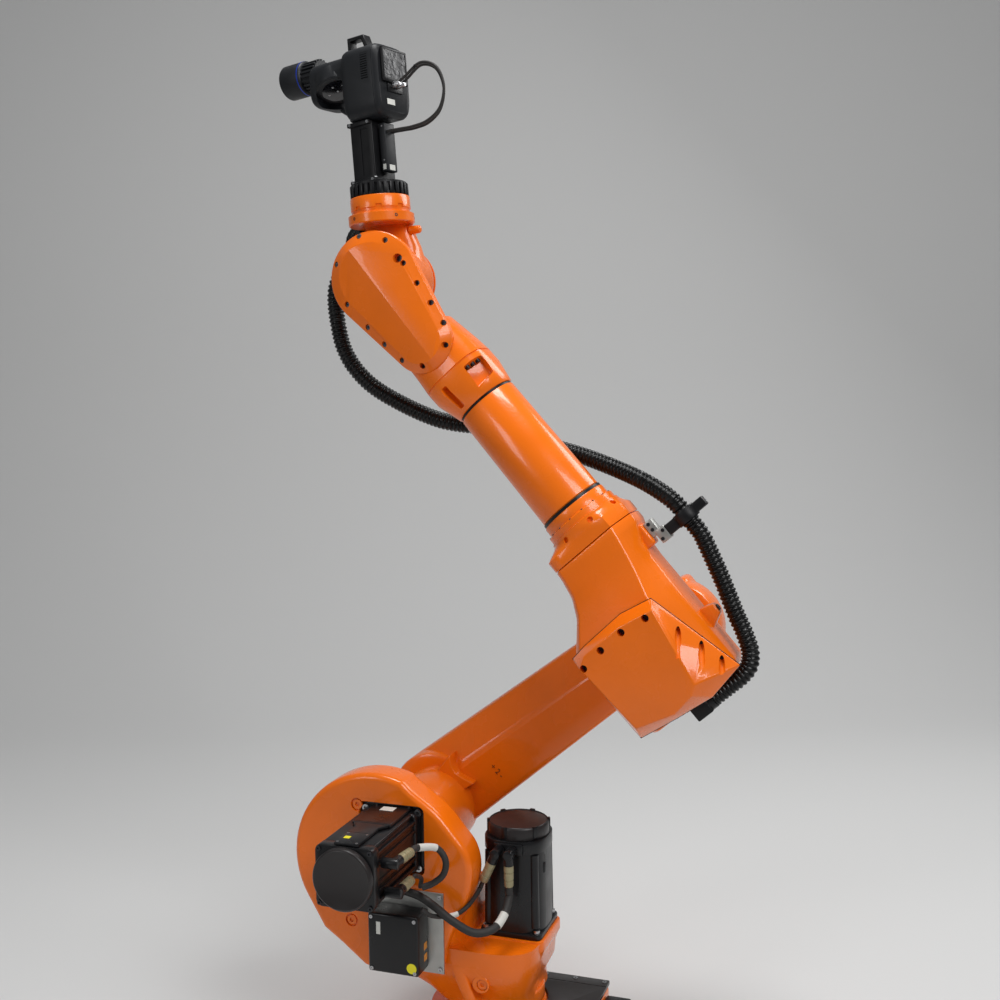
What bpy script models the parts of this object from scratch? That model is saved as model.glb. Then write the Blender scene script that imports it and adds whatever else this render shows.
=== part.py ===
"""Six-axis industrial robot arm with a camera head and a hose pack.

Metres, +Z up. The origin is the middle of the base's underside, on the first axis.
The arm's front is +X. Every body hangs on an empty that lies on its joint's axis.
"""
import math

import bmesh
import bpy
from mathutils import Matrix, Vector

# Driving sizes of the arm
A2_FORWARD = 0.150
A2_HEIGHT = 0.435
LINK_LENGTH = 0.610
FOREARM_RISE = 0.030
FOREARM_LENGTH = 0.855
FLANGE_REACH = 0.153

# The pose in which it stands, in degrees
LINK_LEAN = 52.3
FOREARM_PITCH = 49.3
HAND_PITCH = 86.0
TOOL_TURN = 15.0

# Clearances
GAP = 0.0003
RUNNING_GAP = 0.0060
OVERRUN = 0.010

# Base
FOOT_LENGTH = 0.335
FOOT_WIDTH = 0.310
FOOT_HEIGHT = 0.028
FOOT_CORNER = 0.045
DRUM_RADIUS = 0.125
DRUM_SKIRT = 0.150
DRUM_WAIST = 0.116
DRUM_HEIGHT = 0.100
DRUM_SEAT = 0.098
DRUM_SHOULDER = 0.007
TURNTABLE_RADIUS = 0.086
CONNECTOR_NECK_LENGTH = 0.195
CONNECTOR_NECK_WIDTH = 0.244
CONNECTOR_LENGTH = 0.050
CONNECTOR_WIDTH = 0.200
CONNECTOR_BOTTOM = 0.032
CONNECTOR_TOP = 0.085
CONNECTOR_COVER = 0.009
CONNECTOR_COVER_FRONT = 0.050
CONNECTOR_COVER_WIDTH = 0.250
CONNECTOR_COVER_RECESS = 0.101
CONNECTOR_PLUG_RADIUS = 0.017
CONNECTOR_PLUG_LENGTH = 0.034
CONNECTOR_PLUG_SPREAD = 0.046

# Column
COLUMN_BOTTOM = DRUM_HEIGHT + RUNNING_GAP
COLUMN_DISC_RADIUS = 0.095
COLUMN_DISC_HEIGHT = 0.029
COLUMN_DISC_TOP = COLUMN_BOTTOM + COLUMN_DISC_HEIGHT
TRUNK_DROP = 0.105
TRUNK_TOP = A2_HEIGHT - TRUNK_DROP
EAR_RADIUS = 0.165
EAR_SHIFT_X = 0.033
EAR_SHIFT_Z = -0.032
EAR_INNER = 0.082
EAR_OUTER = 0.150
EAR_EDGE = 0.016
MOTOR_FACE_SIZE = 0.130
MOTOR_FACE_DEPTH = 0.020
LEDGE_RISE = 0.1475
LEDGE_TOP = COLUMN_BOTTOM + LEDGE_RISE
LEDGE_THICKNESS = 0.022
LEDGE_EDGE = 0.0045
A1_MOTOR_X = -0.0525
A1_MOTOR_Y = 0.0085
A1_MOTOR_RADIUS = 0.060
A1_MOTOR_LENGTH = 0.1845
A1_MOTOR_TOP = LEDGE_TOP + A1_MOTOR_LENGTH
A1_MOTOR_FLANGE = 0.012
A1_CAP_HEIGHT = 0.025
A1_CAP_RADIUS = 0.058

# Second axis motor, on the ear's outer face
A2_MOTOR_SETBACK = 0.003
A2_MOTOR_RISE = 0.016
A2_MOTOR_X = A2_FORWARD - A2_MOTOR_SETBACK
A2_MOTOR_Z = A2_HEIGHT + A2_MOTOR_RISE
A2_MOTOR_SIZE = 0.110
A2_MOTOR_HEIGHT = 0.110
A2_MOTOR_END = 0.344
A2_MOTOR_FLANGE = 0.012
A2_FLANGE_RIM = 0.007
A2_CAP_DEPTH = 0.014
A2_CAP_RADIUS = 0.0545
TERMINAL_HEIGHT = 0.006
TERMINAL_WIDTH = 0.074
TERMINAL_FRONT_WIDTH = 0.046
TERMINAL_SHIFT = -0.003

# Signal box on its plate, below the motor
PLATE_AHEAD = 0.045
PLATE_BEHIND = 0.105
PLATE_DROP = 0.075
PLATE_HEIGHT = 0.152
PLATE_LEFT = A2_FORWARD + PLATE_AHEAD
PLATE_RIGHT = A2_FORWARD - PLATE_BEHIND
PLATE_TOP = A2_HEIGHT - PLATE_DROP
PLATE_BOTTOM = PLATE_TOP - PLATE_HEIGHT
PLATE_THICKNESS = 0.004
BOX_AHEAD = 0.022
BOX_BEHIND = 0.076
BOX_DROP = 0.104
BOX_HEIGHT = 0.110
BOX_DEPTH = 0.056
BOX_LEFT = A2_FORWARD + BOX_AHEAD
BOX_RIGHT = A2_FORWARD - BOX_BEHIND
BOX_TOP = A2_HEIGHT - BOX_DROP
BOX_BOTTOM = BOX_TOP - BOX_HEIGHT
BOX_FRONT = EAR_OUTER + BOX_DEPTH
BOX_COVER = 0.006

# Motor plugs and leads
PLUG_RADIUS = 0.0095
PLUG_LENGTH = 0.060
PLUG_ELBOW = 0.022
A1_PLUG_DROP = 0.014
A1_PLUG_HEIGHT = A1_MOTOR_TOP - A1_PLUG_DROP
A1_PLUG_SHIFTS = (-0.009, 0.016)
A2_POWER_SETBACK = 0.032
A2_POWER_RISE = 0.022
A2_SIGNAL_SETBACK = 0.044
A2_SIGNAL_DROP = 0.034
POWER_LEAD_RADIUS = 0.0075
SIGNAL_LEAD_RADIUS = 0.0042

# Link arm
LINK_INNER = 0.085
LINK_OUTER = 0.185
LINK_HUB_RADIUS = 0.088
LINK_HEAD_RADIUS = 0.090
LINK_ROOT_TOP = 0.108
LINK_ROOT_CREASE = 0.032
LINK_ROOT_BOTTOM = 0.068
LINK_TIP_TOP = 0.092
LINK_TIP_CREASE = 0.028
LINK_TIP_BOTTOM = 0.043
LINK_OVERHANG = 0.072
LINK_HUB_SHIFT = 0.020
LINK_HEAD_SHIFT = 0.012
LINK_TOP_EDGE = 0.040
LINK_EDGE = 0.010
LINK_COVER_DEPTH = 0.012
LINK_COVER_RADIUS = 0.080

# Elbow
ELBOW_REAR = 0.105
ELBOW_SIDE = 0.090
ELBOW_FAR = LINK_INNER - RUNNING_GAP
ELBOW_TOP = 0.080
ELBOW_BOTTOM = 0.150
ELBOW_CREASE = 0.022
ELBOW_COVER_OUTER = 0.136
ELBOW_NECK_END = 0.222
ELBOW_FLANGE_RADIUS = 0.082
A4_RING_START = 0.298
A4_RING_RADIUS = 0.066
A4_GAP = RUNNING_GAP

# Forearm
TUBE_RADIUS_LOW = 0.0625
TUBE_RADIUS_HIGH = 0.0590
TUBE_SETBACK = 0.306
TUBE_END = FOREARM_LENGTH - TUBE_SETBACK
WRIST_SEAL = 0.0045
WRIST_ROUND_SETBACK = 0.255
WRIST_NECK_SETBACK = 0.135
WRIST_NECK_TAPER = 0.060
WRIST_DROP = 0.006
WRIST_ROUND_END = FOREARM_LENGTH - WRIST_ROUND_SETBACK
WRIST_NECK_END = FOREARM_LENGTH - WRIST_NECK_SETBACK
WRIST_ARM_INNER = 0.012
WRIST_ARM_OUTER = 0.046
WRIST_ARM_RADIUS = 0.074
WRIST_ARM_TAIL = 0.150
WRIST_ARM_TAIL_RADIUS = 0.050
BELT_COVER_RADIUS = 0.086
BELT_COVER_TAIL_RADIUS = 0.059
BELT_COVER_OUTER = 0.078
BELT_COVER_BEVEL = 0.016

# Hand
HAND_HUB_RADIUS = 0.072
HAND_FAR = 0.074
HAND_CAP_DEPTH = 0.016
COLLAR_START = 0.102
COLLAR_END = 0.121
COLLAR_RADIUS = 0.062
FLANGE_RADIUS = 0.056
HAND_NECK_SHIFT = -0.033
HAND_NECK_SECTIONS = ((0.0, 0.036, 0.066), (0.060, 0.030, 0.055), (0.084, 0.025, 0.040), (0.110, 0.024, 0.034))

# Tool on the flange
ADAPTER_DEPTH = 0.026
ADAPTER_RADIUS = 0.055
ADAPTER_RIBS = 24
POST_TOP = 0.292
POST_WIDTH = 0.052
POST_DEPTH = 0.060
POST_SHIFT = 0.008
INTERFACE_WIDTH = 0.018
INTERFACE_DEPTH = 0.030
INTERFACE_START = 0.196
INTERFACE_END = 0.285
SCANNER_WIDTH = 0.100
SCANNER_HEIGHT = 0.132
SCANNER_FRONT = -0.030
SCANNER_REAR = 0.055
SCANNER_EDGE = 0.012
REAR_COVER_START = 0.060
REAR_COVER_END = 0.122
REAR_COVER_DEPTH = 0.006
POD_LOW = 0.041
POD_HIGH = 0.123
POD_DEPTH = 0.082
POD_WIDTH = 0.095
BARREL_RADIUS = 0.026
BARREL_LENGTH = 0.037
HOOD_RADIUS = 0.0325
HOOD_LENGTH = 0.050
HANDLE_RISE = 0.029
HANDLE_LENGTH = 0.040
HANDLE_BAR = 0.007
LOOP_RADIUS = 0.0026
LEAD_EXIT = 0.057
LEAD_ENTRY = 0.016
LEAD_SPREAD = 0.007

# Hoses
HOSE_RADIUS = 0.0165
CLAMP_WIDTH = 0.024
GLAND_SIDE = 0.010
GLAND_RISE = -0.020
GLAND_OUT = 0.0175
GLAND_BLOCK = 0.034
GLAND_LENGTH = 0.020
GLAND_ANGLE = 50.0
GLAND_ALONG = 0.106
CLIP_SETBACK = 0.039
CLIP_ALONG = TUBE_END - CLIP_SETBACK
CLIP_SIDE = -0.094
CLIP_RISE = -0.045
CLIP_FOOT = -0.040

SIDES = 40
SMALL_SIDES = 20


def clear_scene():
    for thing in list(bpy.data.objects):
        bpy.data.objects.remove(thing, do_unlink=True)


clear_scene()
PARTS = bpy.data.collections.new("robot_arm")
CUTTERS = bpy.data.collections.new("cutters")
bpy.context.scene.collection.children.link(PARTS)
bpy.context.scene.collection.children.link(CUTTERS)


def make_material(name, colour, roughness, metallic=0.0):
    material = bpy.data.materials.new(name)
    material.use_nodes = True
    shader = material.node_tree.nodes["Principled BSDF"]
    shader.inputs["Base Color"].default_value = (*colour, 1.0)
    shader.inputs["Roughness"].default_value = roughness
    shader.inputs["Metallic"].default_value = metallic
    material.diffuse_color = (*colour, 1.0)
    return material


ORANGE = (0.86, 0.22, 0.025)
BLACK = (0.012, 0.012, 0.013)
RUBBER = (0.008, 0.008, 0.008)
KHAKI = (0.30, 0.27, 0.16)
SILVER = (0.55, 0.55, 0.54)
SLATE = (0.03, 0.032, 0.036)


def frame_empty(name, parent, location, pitch=0.0):
    """An empty on a joint's axis; pitch raises its X axis, in degrees."""
    empty = bpy.data.objects.new(name, None)
    PARTS.objects.link(empty)
    empty.parent = parent
    empty.location = location
    empty.rotation_euler = (0.0, -math.radians(pitch), 0.0)
    return empty


def add_object(name, mesh, frame, colour=None, roughness=0.4, metallic=0.0):
    """A finished piece when it has a colour, else a cutter or an addition."""
    thing = bpy.data.objects.new(name, mesh)
    if colour is None:
        CUTTERS.objects.link(thing)
        thing.hide_render = True
        thing.display_type = "WIRE"
    else:
        PARTS.objects.link(thing)
        mesh.materials.append(make_material(name, colour, roughness, metallic))
    thing.parent = frame
    return thing


def mesh_from(name, bm):
    bmesh.ops.recalc_face_normals(bm, faces=bm.faces)
    mesh = bpy.data.meshes.new(name)
    bm.to_mesh(mesh)
    bm.free()
    mesh.shade_smooth()
    mesh.set_sharp_from_angle(angle=math.radians(35.0))
    return mesh


def box_mesh(name, low, high):
    bm = bmesh.new()
    bmesh.ops.create_cube(bm, size=1.0)
    low = Vector(low)
    high = Vector(high)
    bmesh.ops.scale(bm, vec=high - low, verts=bm.verts)
    bmesh.ops.translate(bm, vec=(low + high) / 2.0, verts=bm.verts)
    return mesh_from(name, bm)


def rod_mesh(name, start, end, radius, end_radius=None, sides=SIDES):
    """A cylinder or a cone frustum between two points."""
    start = Vector(start)
    end = Vector(end)
    along = end - start
    bm = bmesh.new()
    bmesh.ops.create_cone(
        bm, cap_ends=True, segments=sides, radius1=radius,
        radius2=radius if end_radius is None else end_radius, depth=along.length)
    turn = along.to_track_quat("Z", "Y").to_matrix().to_4x4()
    bmesh.ops.transform(bm, matrix=Matrix.Translation((start + end) / 2.0) @ turn, verts=bm.verts)
    return mesh_from(name, bm)


def loft_mesh(name, rings):
    """Skin over rings of equally many points, closed at both ends."""
    bm = bmesh.new()
    loops = [[bm.verts.new(point) for point in ring] for ring in rings]
    count = len(rings[0])
    for near, far in zip(loops, loops[1:]):
        for i in range(count):
            j = (i + 1) % count
            bm.faces.new((near[i], near[j], far[j], far[i]))
    bm.faces.new(loops[0])
    bm.faces.new(loops[-1])
    return mesh_from(name, bm)


def plate_mesh(name, outline, low, high):
    """An outline in X and Z, extruded along Y from low to high."""
    curve = bpy.data.curves.new(name, "CURVE")
    curve.dimensions = "2D"
    curve.fill_mode = "BOTH"
    curve.extrude = (high - low) / 2.0
    spline = curve.splines.new("POLY")
    spline.points.add(len(outline) - 1)
    for point, (x, z) in zip(spline.points, outline):
        point.co = (x, z, 0.0, 1.0)
    spline.use_cyclic_u = True
    holder = bpy.data.objects.new(name, curve)
    bpy.context.scene.collection.objects.link(holder)
    graph = bpy.context.evaluated_depsgraph_get()
    raw = bpy.data.meshes.new_from_object(holder.evaluated_get(graph))
    bpy.data.objects.remove(holder, do_unlink=True)
    bm = bmesh.new()
    bm.from_mesh(raw)
    bmesh.ops.remove_doubles(bm, verts=bm.verts, dist=1e-6)
    bmesh.ops.dissolve_limit(
        bm, angle_limit=math.radians(0.5), verts=bm.verts, edges=bm.edges)
    turn = Matrix.Rotation(math.radians(90.0), 4, "X")
    middle = Matrix.Translation((0.0, (low + high) / 2.0, 0.0))
    bmesh.ops.transform(bm, matrix=middle @ turn, verts=bm.verts)
    return mesh_from(name, bm)


def tube_mesh(name, points, radius, resolution=2):
    """A hose or lead along points, with round section and closed ends."""
    curve = bpy.data.curves.new(name, "CURVE")
    curve.dimensions = "3D"
    curve.bevel_depth = radius
    curve.bevel_resolution = resolution
    curve.use_fill_caps = True
    spline = curve.splines.new("POLY")
    spline.points.add(len(points) - 1)
    for target, point in zip(spline.points, points):
        target.co = (*point, 1.0)
    holder = bpy.data.objects.new(name, curve)
    bpy.context.scene.collection.objects.link(holder)
    graph = bpy.context.evaluated_depsgraph_get()
    raw = bpy.data.meshes.new_from_object(holder.evaluated_get(graph))
    bpy.data.objects.remove(holder, do_unlink=True)
    bm = bmesh.new()
    bm.from_mesh(raw)
    bmesh.ops.remove_doubles(bm, verts=bm.verts, dist=1e-6)
    return mesh_from(name, bm)


def smooth_route(points, steps):
    """Points on one Catmull-Rom curve through the route's own points."""
    path = [Vector(point) for point in points]
    ends = [2.0 * path[0] - path[1]] + path + [2.0 * path[-1] - path[-2]]
    result = []
    for a, b, c, d in zip(ends, ends[1:], ends[2:], ends[3:]):
        for k in range(steps):
            t = k / steps
            result.append(0.5 * (
                2.0 * b + (c - a) * t + (2.0 * a - 5.0 * b + 4.0 * c - d) * t ** 2
                + (3.0 * b - a - 3.0 * c + d) * t ** 3))
    result.append(path[-1])
    return result


def turned(name, profile, frame, location, direction, colour=None, roughness=0.4,
           metallic=0.0, sides=SIDES):
    """A turned solid: profile of radius and height, from its top down to its bottom."""
    bm = bmesh.new()
    verts = [bm.verts.new((radius, 0.0, height)) for radius, height in profile]
    for a, b in zip(verts, verts[1:]):
        bm.edges.new((a, b))
    mesh = bpy.data.meshes.new(name)
    bm.to_mesh(mesh)
    bm.free()
    thing = add_object(name, mesh, frame, colour, roughness, metallic)
    thing.location = location
    thing.rotation_euler = Vector(direction).to_track_quat("Z", "Y").to_euler()
    screw = thing.modifiers.new("turn", "SCREW")
    screw.axis = "Z"
    screw.steps = sides
    screw.render_steps = sides
    screw.use_merge_vertices = True
    screw.merge_threshold = 0.00001
    return thing


def bevel(thing, width, segments=2, angle=30.0):
    edge = thing.modifiers.new("edges", "BEVEL")
    edge.width = width
    edge.segments = segments
    edge.limit_method = "ANGLE"
    edge.angle_limit = math.radians(angle)
    return thing


def combine(thing, other, operation):
    step = thing.modifiers.new(other.name, "BOOLEAN")
    step.operation = operation
    step.solver = "EXACT"
    step.object = other
    return thing


def join(thing, *others):
    for other in others:
        combine(thing, other, "UNION")
    return thing


def cut(thing, *others):
    for other in others:
        combine(thing, other, "DIFFERENCE")
    return thing


def arc(centre_x, centre_z, radius, start, end, count):
    """Points of an arc, angles in degrees from +X towards +Z."""
    points = []
    for i in range(count):
        angle = math.radians(start + (end - start) * i / (count - 1))
        points.append((centre_x + radius * math.cos(angle), centre_z + radius * math.sin(angle)))
    return points


def tapered_stadium(x_a, z_a, radius_a, x_b, z_b, radius_b, count=14):
    """Outline of two circles and their outer tangents, the first at +X."""
    distance = math.hypot(x_a - x_b, z_a - z_b)
    heading = math.degrees(math.atan2(z_a - z_b, x_a - x_b))
    open_angle = math.degrees(math.acos((radius_b - radius_a) / distance))
    first = arc(x_a, z_a, radius_a, heading - open_angle, heading + open_angle, count)
    second = arc(x_b, z_b, radius_b, heading + open_angle, heading + 360.0 - open_angle, count)
    return first + second


def rounded_rectangle(half_x, half_z, corner, count=5, centre_x=0.0, centre_z=0.0):
    points = []
    for sign_x, sign_z, start in ((1, 1, 0), (-1, 1, 90), (-1, -1, 180), (1, -1, 270)):
        points += arc(centre_x + sign_x * (half_x - corner), centre_z + sign_z * (half_z - corner),
                      corner, start, start + 90, count)
    return points


def superellipse(half_x, half_y, power, count):
    """Ring in X and Y, square-like when power is high."""
    ring = []
    for i in range(count):
        angle = 2.0 * math.pi * (i + 0.5) / count
        c = math.cos(angle)
        s = math.sin(angle)
        ring.append((math.copysign(abs(c) ** (2.0 / power), c) * half_x,
                     math.copysign(abs(s) ** (2.0 / power), s) * half_y))
    return ring


# Frames of the bodies
base_frame = frame_empty("base_frame", None, (0.0, 0.0, 0.0))
column_frame = frame_empty("a1_axis", base_frame, (0.0, 0.0, 0.0))
link_frame = frame_empty("a2_axis", column_frame, (A2_FORWARD, 0.0, A2_HEIGHT), LINK_LEAN)
elbow_frame = frame_empty(
    "a3_axis", link_frame, (0.0, 0.0, LINK_LENGTH), FOREARM_PITCH - LINK_LEAN)
forearm_frame = frame_empty("a4_axis", elbow_frame, (0.0, 0.0, FOREARM_RISE))
hand_frame = frame_empty(
    "a5_axis", forearm_frame, (FOREARM_LENGTH, 0.0, 0.0), HAND_PITCH - FOREARM_PITCH)
tool_frame = frame_empty("a6_axis", hand_frame, (FLANGE_REACH, 0.0, 0.0))
tool_frame.rotation_euler.x = -math.radians(TOOL_TURN)


def build_base():
    outline = rounded_rectangle(FOOT_LENGTH / 2.0, FOOT_WIDTH / 2.0, FOOT_CORNER)
    rings = [[(x, y, z) for x, y in outline] for z in (0.0, FOOT_HEIGHT)]
    base = add_object("base_casting", loft_mesh("base_casting", rings), base_frame, ORANGE, 0.3)
    shoulder = DRUM_HEIGHT - DRUM_SHOULDER
    drum = turned("base_drum", [
        (0.0, DRUM_HEIGHT), (DRUM_SEAT, DRUM_HEIGHT), (DRUM_SEAT, shoulder), (DRUM_RADIUS, shoulder),
        (DRUM_RADIUS, DRUM_HEIGHT - FOOT_HEIGHT), (DRUM_WAIST, 2.0 * FOOT_HEIGHT),
        (DRUM_SKIRT, FOOT_HEIGHT / 2.0), (0.0, FOOT_HEIGHT / 2.0),
    ], base_frame, (0.0, 0.0, 0.0), (0.0, 0.0, 1.0))
    neck = add_object("base_neck", box_mesh(
        "base_neck", (-CONNECTOR_NECK_LENGTH, -CONNECTOR_NECK_WIDTH / 2.0, FOOT_HEIGHT / 2.0),
        (0.0, CONNECTOR_NECK_WIDTH / 2.0, shoulder - GAP)), base_frame)
    join(base, drum, neck)
    turned("turntable_ring", [
        (0.0, COLUMN_BOTTOM - GAP), (TURNTABLE_RADIUS, COLUMN_BOTTOM - GAP),
        (TURNTABLE_RADIUS, DRUM_HEIGHT + GAP), (0.0, DRUM_HEIGHT + GAP),
    ], base_frame, (0.0, 0.0, 0.0), (0.0, 0.0, 1.0), BLACK, 0.5)
    front = -CONNECTOR_NECK_LENGTH - GAP
    box = add_object("base_connector_box", box_mesh(
        "base_connector_box", (front - CONNECTOR_LENGTH, -CONNECTOR_WIDTH / 2.0, CONNECTOR_BOTTOM),
        (front, CONNECTOR_WIDTH / 2.0, CONNECTOR_TOP)), base_frame, BLACK, 0.5)
    bevel(box, CONNECTOR_COVER / 2.0)
    rear = front - CONNECTOR_LENGTH + OVERRUN
    for sign in (-1.0, 1.0):
        join(box, turned("base_socket", [
            (0.0, CONNECTOR_PLUG_LENGTH), (CONNECTOR_PLUG_RADIUS * 0.8, CONNECTOR_PLUG_LENGTH),
            (CONNECTOR_PLUG_RADIUS, CONNECTOR_PLUG_LENGTH * 0.8), (CONNECTOR_PLUG_RADIUS, 0.0),
            (0.0, 0.0)],
            base_frame, (rear, sign * CONNECTOR_PLUG_SPREAD, (CONNECTOR_BOTTOM + CONNECTOR_TOP) / 2.0),
            (-1.0, 0.0, 0.0), sides=SMALL_SIDES))
    half = CONNECTOR_COVER_WIDTH / 2.0
    open_angle = math.degrees(math.acos(CONNECTOR_COVER_FRONT / CONNECTOR_COVER_RECESS))
    outline = arc(0.0, 0.0, CONNECTOR_COVER_RECESS, 180.0 - open_angle, 180.0 + open_angle, 15)
    outline += [(-CONNECTOR_COVER_FRONT, -half), (-CONNECTOR_NECK_LENGTH, -half),
                (-CONNECTOR_NECK_LENGTH, half), (-CONNECTOR_COVER_FRONT, half)]
    cover = add_object("base_connector_cover", loft_mesh("base_connector_cover", [
        [(x, y, z) for x, y in outline] for z in (shoulder + GAP, shoulder + GAP + CONNECTOR_COVER)]),
        base_frame, BLACK, 0.45)
    bevel(cover, CONNECTOR_COVER / 6.0, 1)


# The ear seen from its side: a round disc that tapers to a point behind
EAR_TAPER_SHARES = (
    (-0.467, 0.830), (-0.758, 0.624), (-0.970, 0.388), (-1.097, 0.224), (-1.152, 0.024),
    (-1.133, -0.188), (-1.067, -0.400), (-0.982, -0.570), (-0.867, -0.855), (-0.806, -1.139),
    (0.133, -1.255), (0.430, -1.018), (0.655, -0.861))
TRUNK_SECTION_SHARES = (
    # height, rear, front, near side, far side
    (0.000, 0.947, 0.947, 0.947, 0.947),
    (0.122, 0.926, 1.263, 1.032, 0.947),
    (0.293, 1.116, 1.737, 1.316, 1.053),
    (0.522, 1.179, 2.000, 1.453, 0.968),
    (0.612, 1.179, 2.000, 1.453, 0.968),
    (0.616, -0.242, 2.000, 1.453, 0.968),
    (0.854, -0.242, 2.158, 1.537, 0.789),
    (1.000, -0.284, 2.200, 1.537, 0.547),
)


def build_column():
    ear_x = A2_FORWARD + EAR_SHIFT_X
    ear_z = A2_HEIGHT + EAR_SHIFT_Z
    outline = arc(ear_x, ear_z, EAR_RADIUS, -30.0, 110.0, 25)
    outline += [(ear_x + x * EAR_RADIUS, ear_z + z * EAR_RADIUS) for x, z in EAR_TAPER_SHARES]
    column = add_object("column_casting", plate_mesh(
        "column_casting", outline, EAR_INNER, EAR_OUTER), column_frame, ORANGE, 0.3)
    bevel(column, EAR_EDGE, 3, 40.0)
    rings = []
    low = COLUMN_DISC_TOP - OVERRUN
    for height, rear, front, near, far in TRUNK_SECTION_SHARES:
        low_x = -rear * COLUMN_DISC_RADIUS
        high_x = front * COLUMN_DISC_RADIUS
        low_y = -far * COLUMN_DISC_RADIUS
        high_y = near * COLUMN_DISC_RADIUS
        ring = superellipse((high_x - low_x) / 2.0, (high_y - low_y) / 2.0, 4.0, 24)
        rings.append([(x + (low_x + high_x) / 2.0, y + (low_y + high_y) / 2.0,
                       low + height * (TRUNK_TOP - low)) for x, y in ring])
    trunk = add_object("column_trunk", loft_mesh("column_trunk", rings), column_frame)
    disc = turned("column_disc", [
        (0.0, COLUMN_DISC_TOP), (COLUMN_DISC_RADIUS, COLUMN_DISC_TOP),
        (COLUMN_DISC_RADIUS, COLUMN_BOTTOM), (0.0, COLUMN_BOTTOM),
    ], column_frame, (0.0, 0.0, 0.0), (0.0, 0.0, 1.0))
    half = A1_MOTOR_RADIUS + LEDGE_EDGE
    ledge_outline = rounded_rectangle(half, half, LEDGE_THICKNESS)
    ledge = add_object("column_ledge", loft_mesh("column_ledge", [
        [(A1_MOTOR_X * 0.6 + x * 0.7, A1_MOTOR_Y * 0.6 + y * 0.7, COLUMN_BOTTOM + LEDGE_THICKNESS)
         for x, y in ledge_outline],
        [(A1_MOTOR_X + x, A1_MOTOR_Y + y, LEDGE_TOP - LEDGE_THICKNESS) for x, y in ledge_outline],
        [(A1_MOTOR_X + x, A1_MOTOR_Y + y, LEDGE_TOP) for x, y in ledge_outline],
    ]), column_frame)
    join(column, trunk, disc, ledge)
    half_face = MOTOR_FACE_SIZE / 2.0
    recess = add_object("motor_seat", box_mesh(
        "motor_seat", (A2_MOTOR_X - half_face, EAR_OUTER - MOTOR_FACE_DEPTH, A2_MOTOR_Z - half_face),
        (A2_MOTOR_X + half_face, EAR_OUTER + OVERRUN, A2_MOTOR_Z + half_face)), column_frame)
    cut(column, recess)


def build_a1_motor():
    bottom = LEDGE_TOP + GAP
    place = (A1_MOTOR_X, A1_MOTOR_Y)
    ring = superellipse(A1_MOTOR_RADIUS, A1_MOTOR_RADIUS, 2.6, 28)
    heights = (bottom, A1_MOTOR_TOP)
    body = add_object("a1_motor_body", loft_mesh("a1_motor_body", [
        [(place[0] + x, place[1] + y, z) for x, y in ring] for z in heights]),
        column_frame, BLACK, 0.4)
    flange = add_object("a1_motor_flange", loft_mesh("a1_motor_flange", [
        [(place[0] + x, place[1] + y, z)
         for x, y in rounded_rectangle(A1_MOTOR_RADIUS, A1_MOTOR_RADIUS, A1_MOTOR_FLANGE)]
        for z in (bottom, bottom + A1_MOTOR_FLANGE)]), column_frame)
    pad = add_object("a1_motor_pad", box_mesh(
        "a1_motor_pad", (A1_MOTOR_X - PLUG_ELBOW * 1.6, A1_MOTOR_Y, A1_PLUG_HEIGHT - PLUG_ELBOW / 2.0),
        (A1_MOTOR_X + PLUG_ELBOW * 0.7, A1_MOTOR_Y + A1_MOTOR_RADIUS + PLUG_ELBOW / 4.0,
         A1_PLUG_HEIGHT + PLUG_ELBOW / 2.0)), column_frame)
    join(body, flange, pad)
    turned("a1_motor_cap", [
        (0.0, A1_CAP_HEIGHT), (A1_CAP_RADIUS * 0.94, A1_CAP_HEIGHT),
        (A1_CAP_RADIUS, A1_CAP_HEIGHT * 0.85), (A1_CAP_RADIUS, 0.0), (0.0, 0.0),
    ], column_frame, (*place, A1_MOTOR_TOP + GAP), (0.0, 0.0, 1.0), SLATE, 0.55)


def plug(name, frame, socket, outward, along):
    """An angled plug: a black elbow on the motor and a khaki barrel that points along."""
    socket = Vector(socket)
    outward = Vector(outward).normalized()
    along = Vector(along).normalized()
    corner = socket + outward * PLUG_ELBOW
    elbow = add_object(name, rod_mesh(
        name, socket, corner + outward * PLUG_RADIUS, PLUG_RADIUS, sides=SMALL_SIDES),
        frame, KHAKI, 0.5)
    barrel = add_object(name + "_barrel", rod_mesh(
        name, corner, corner + along * PLUG_LENGTH, PLUG_RADIUS * 0.96, PLUG_RADIUS * 0.9,
        sides=SMALL_SIDES), frame)
    join(elbow, barrel)
    end = corner + along * (PLUG_LENGTH + GAP)
    return [end, end + along * PLUG_RADIUS, end + along * PLUG_RADIUS * 2.0]


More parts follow.
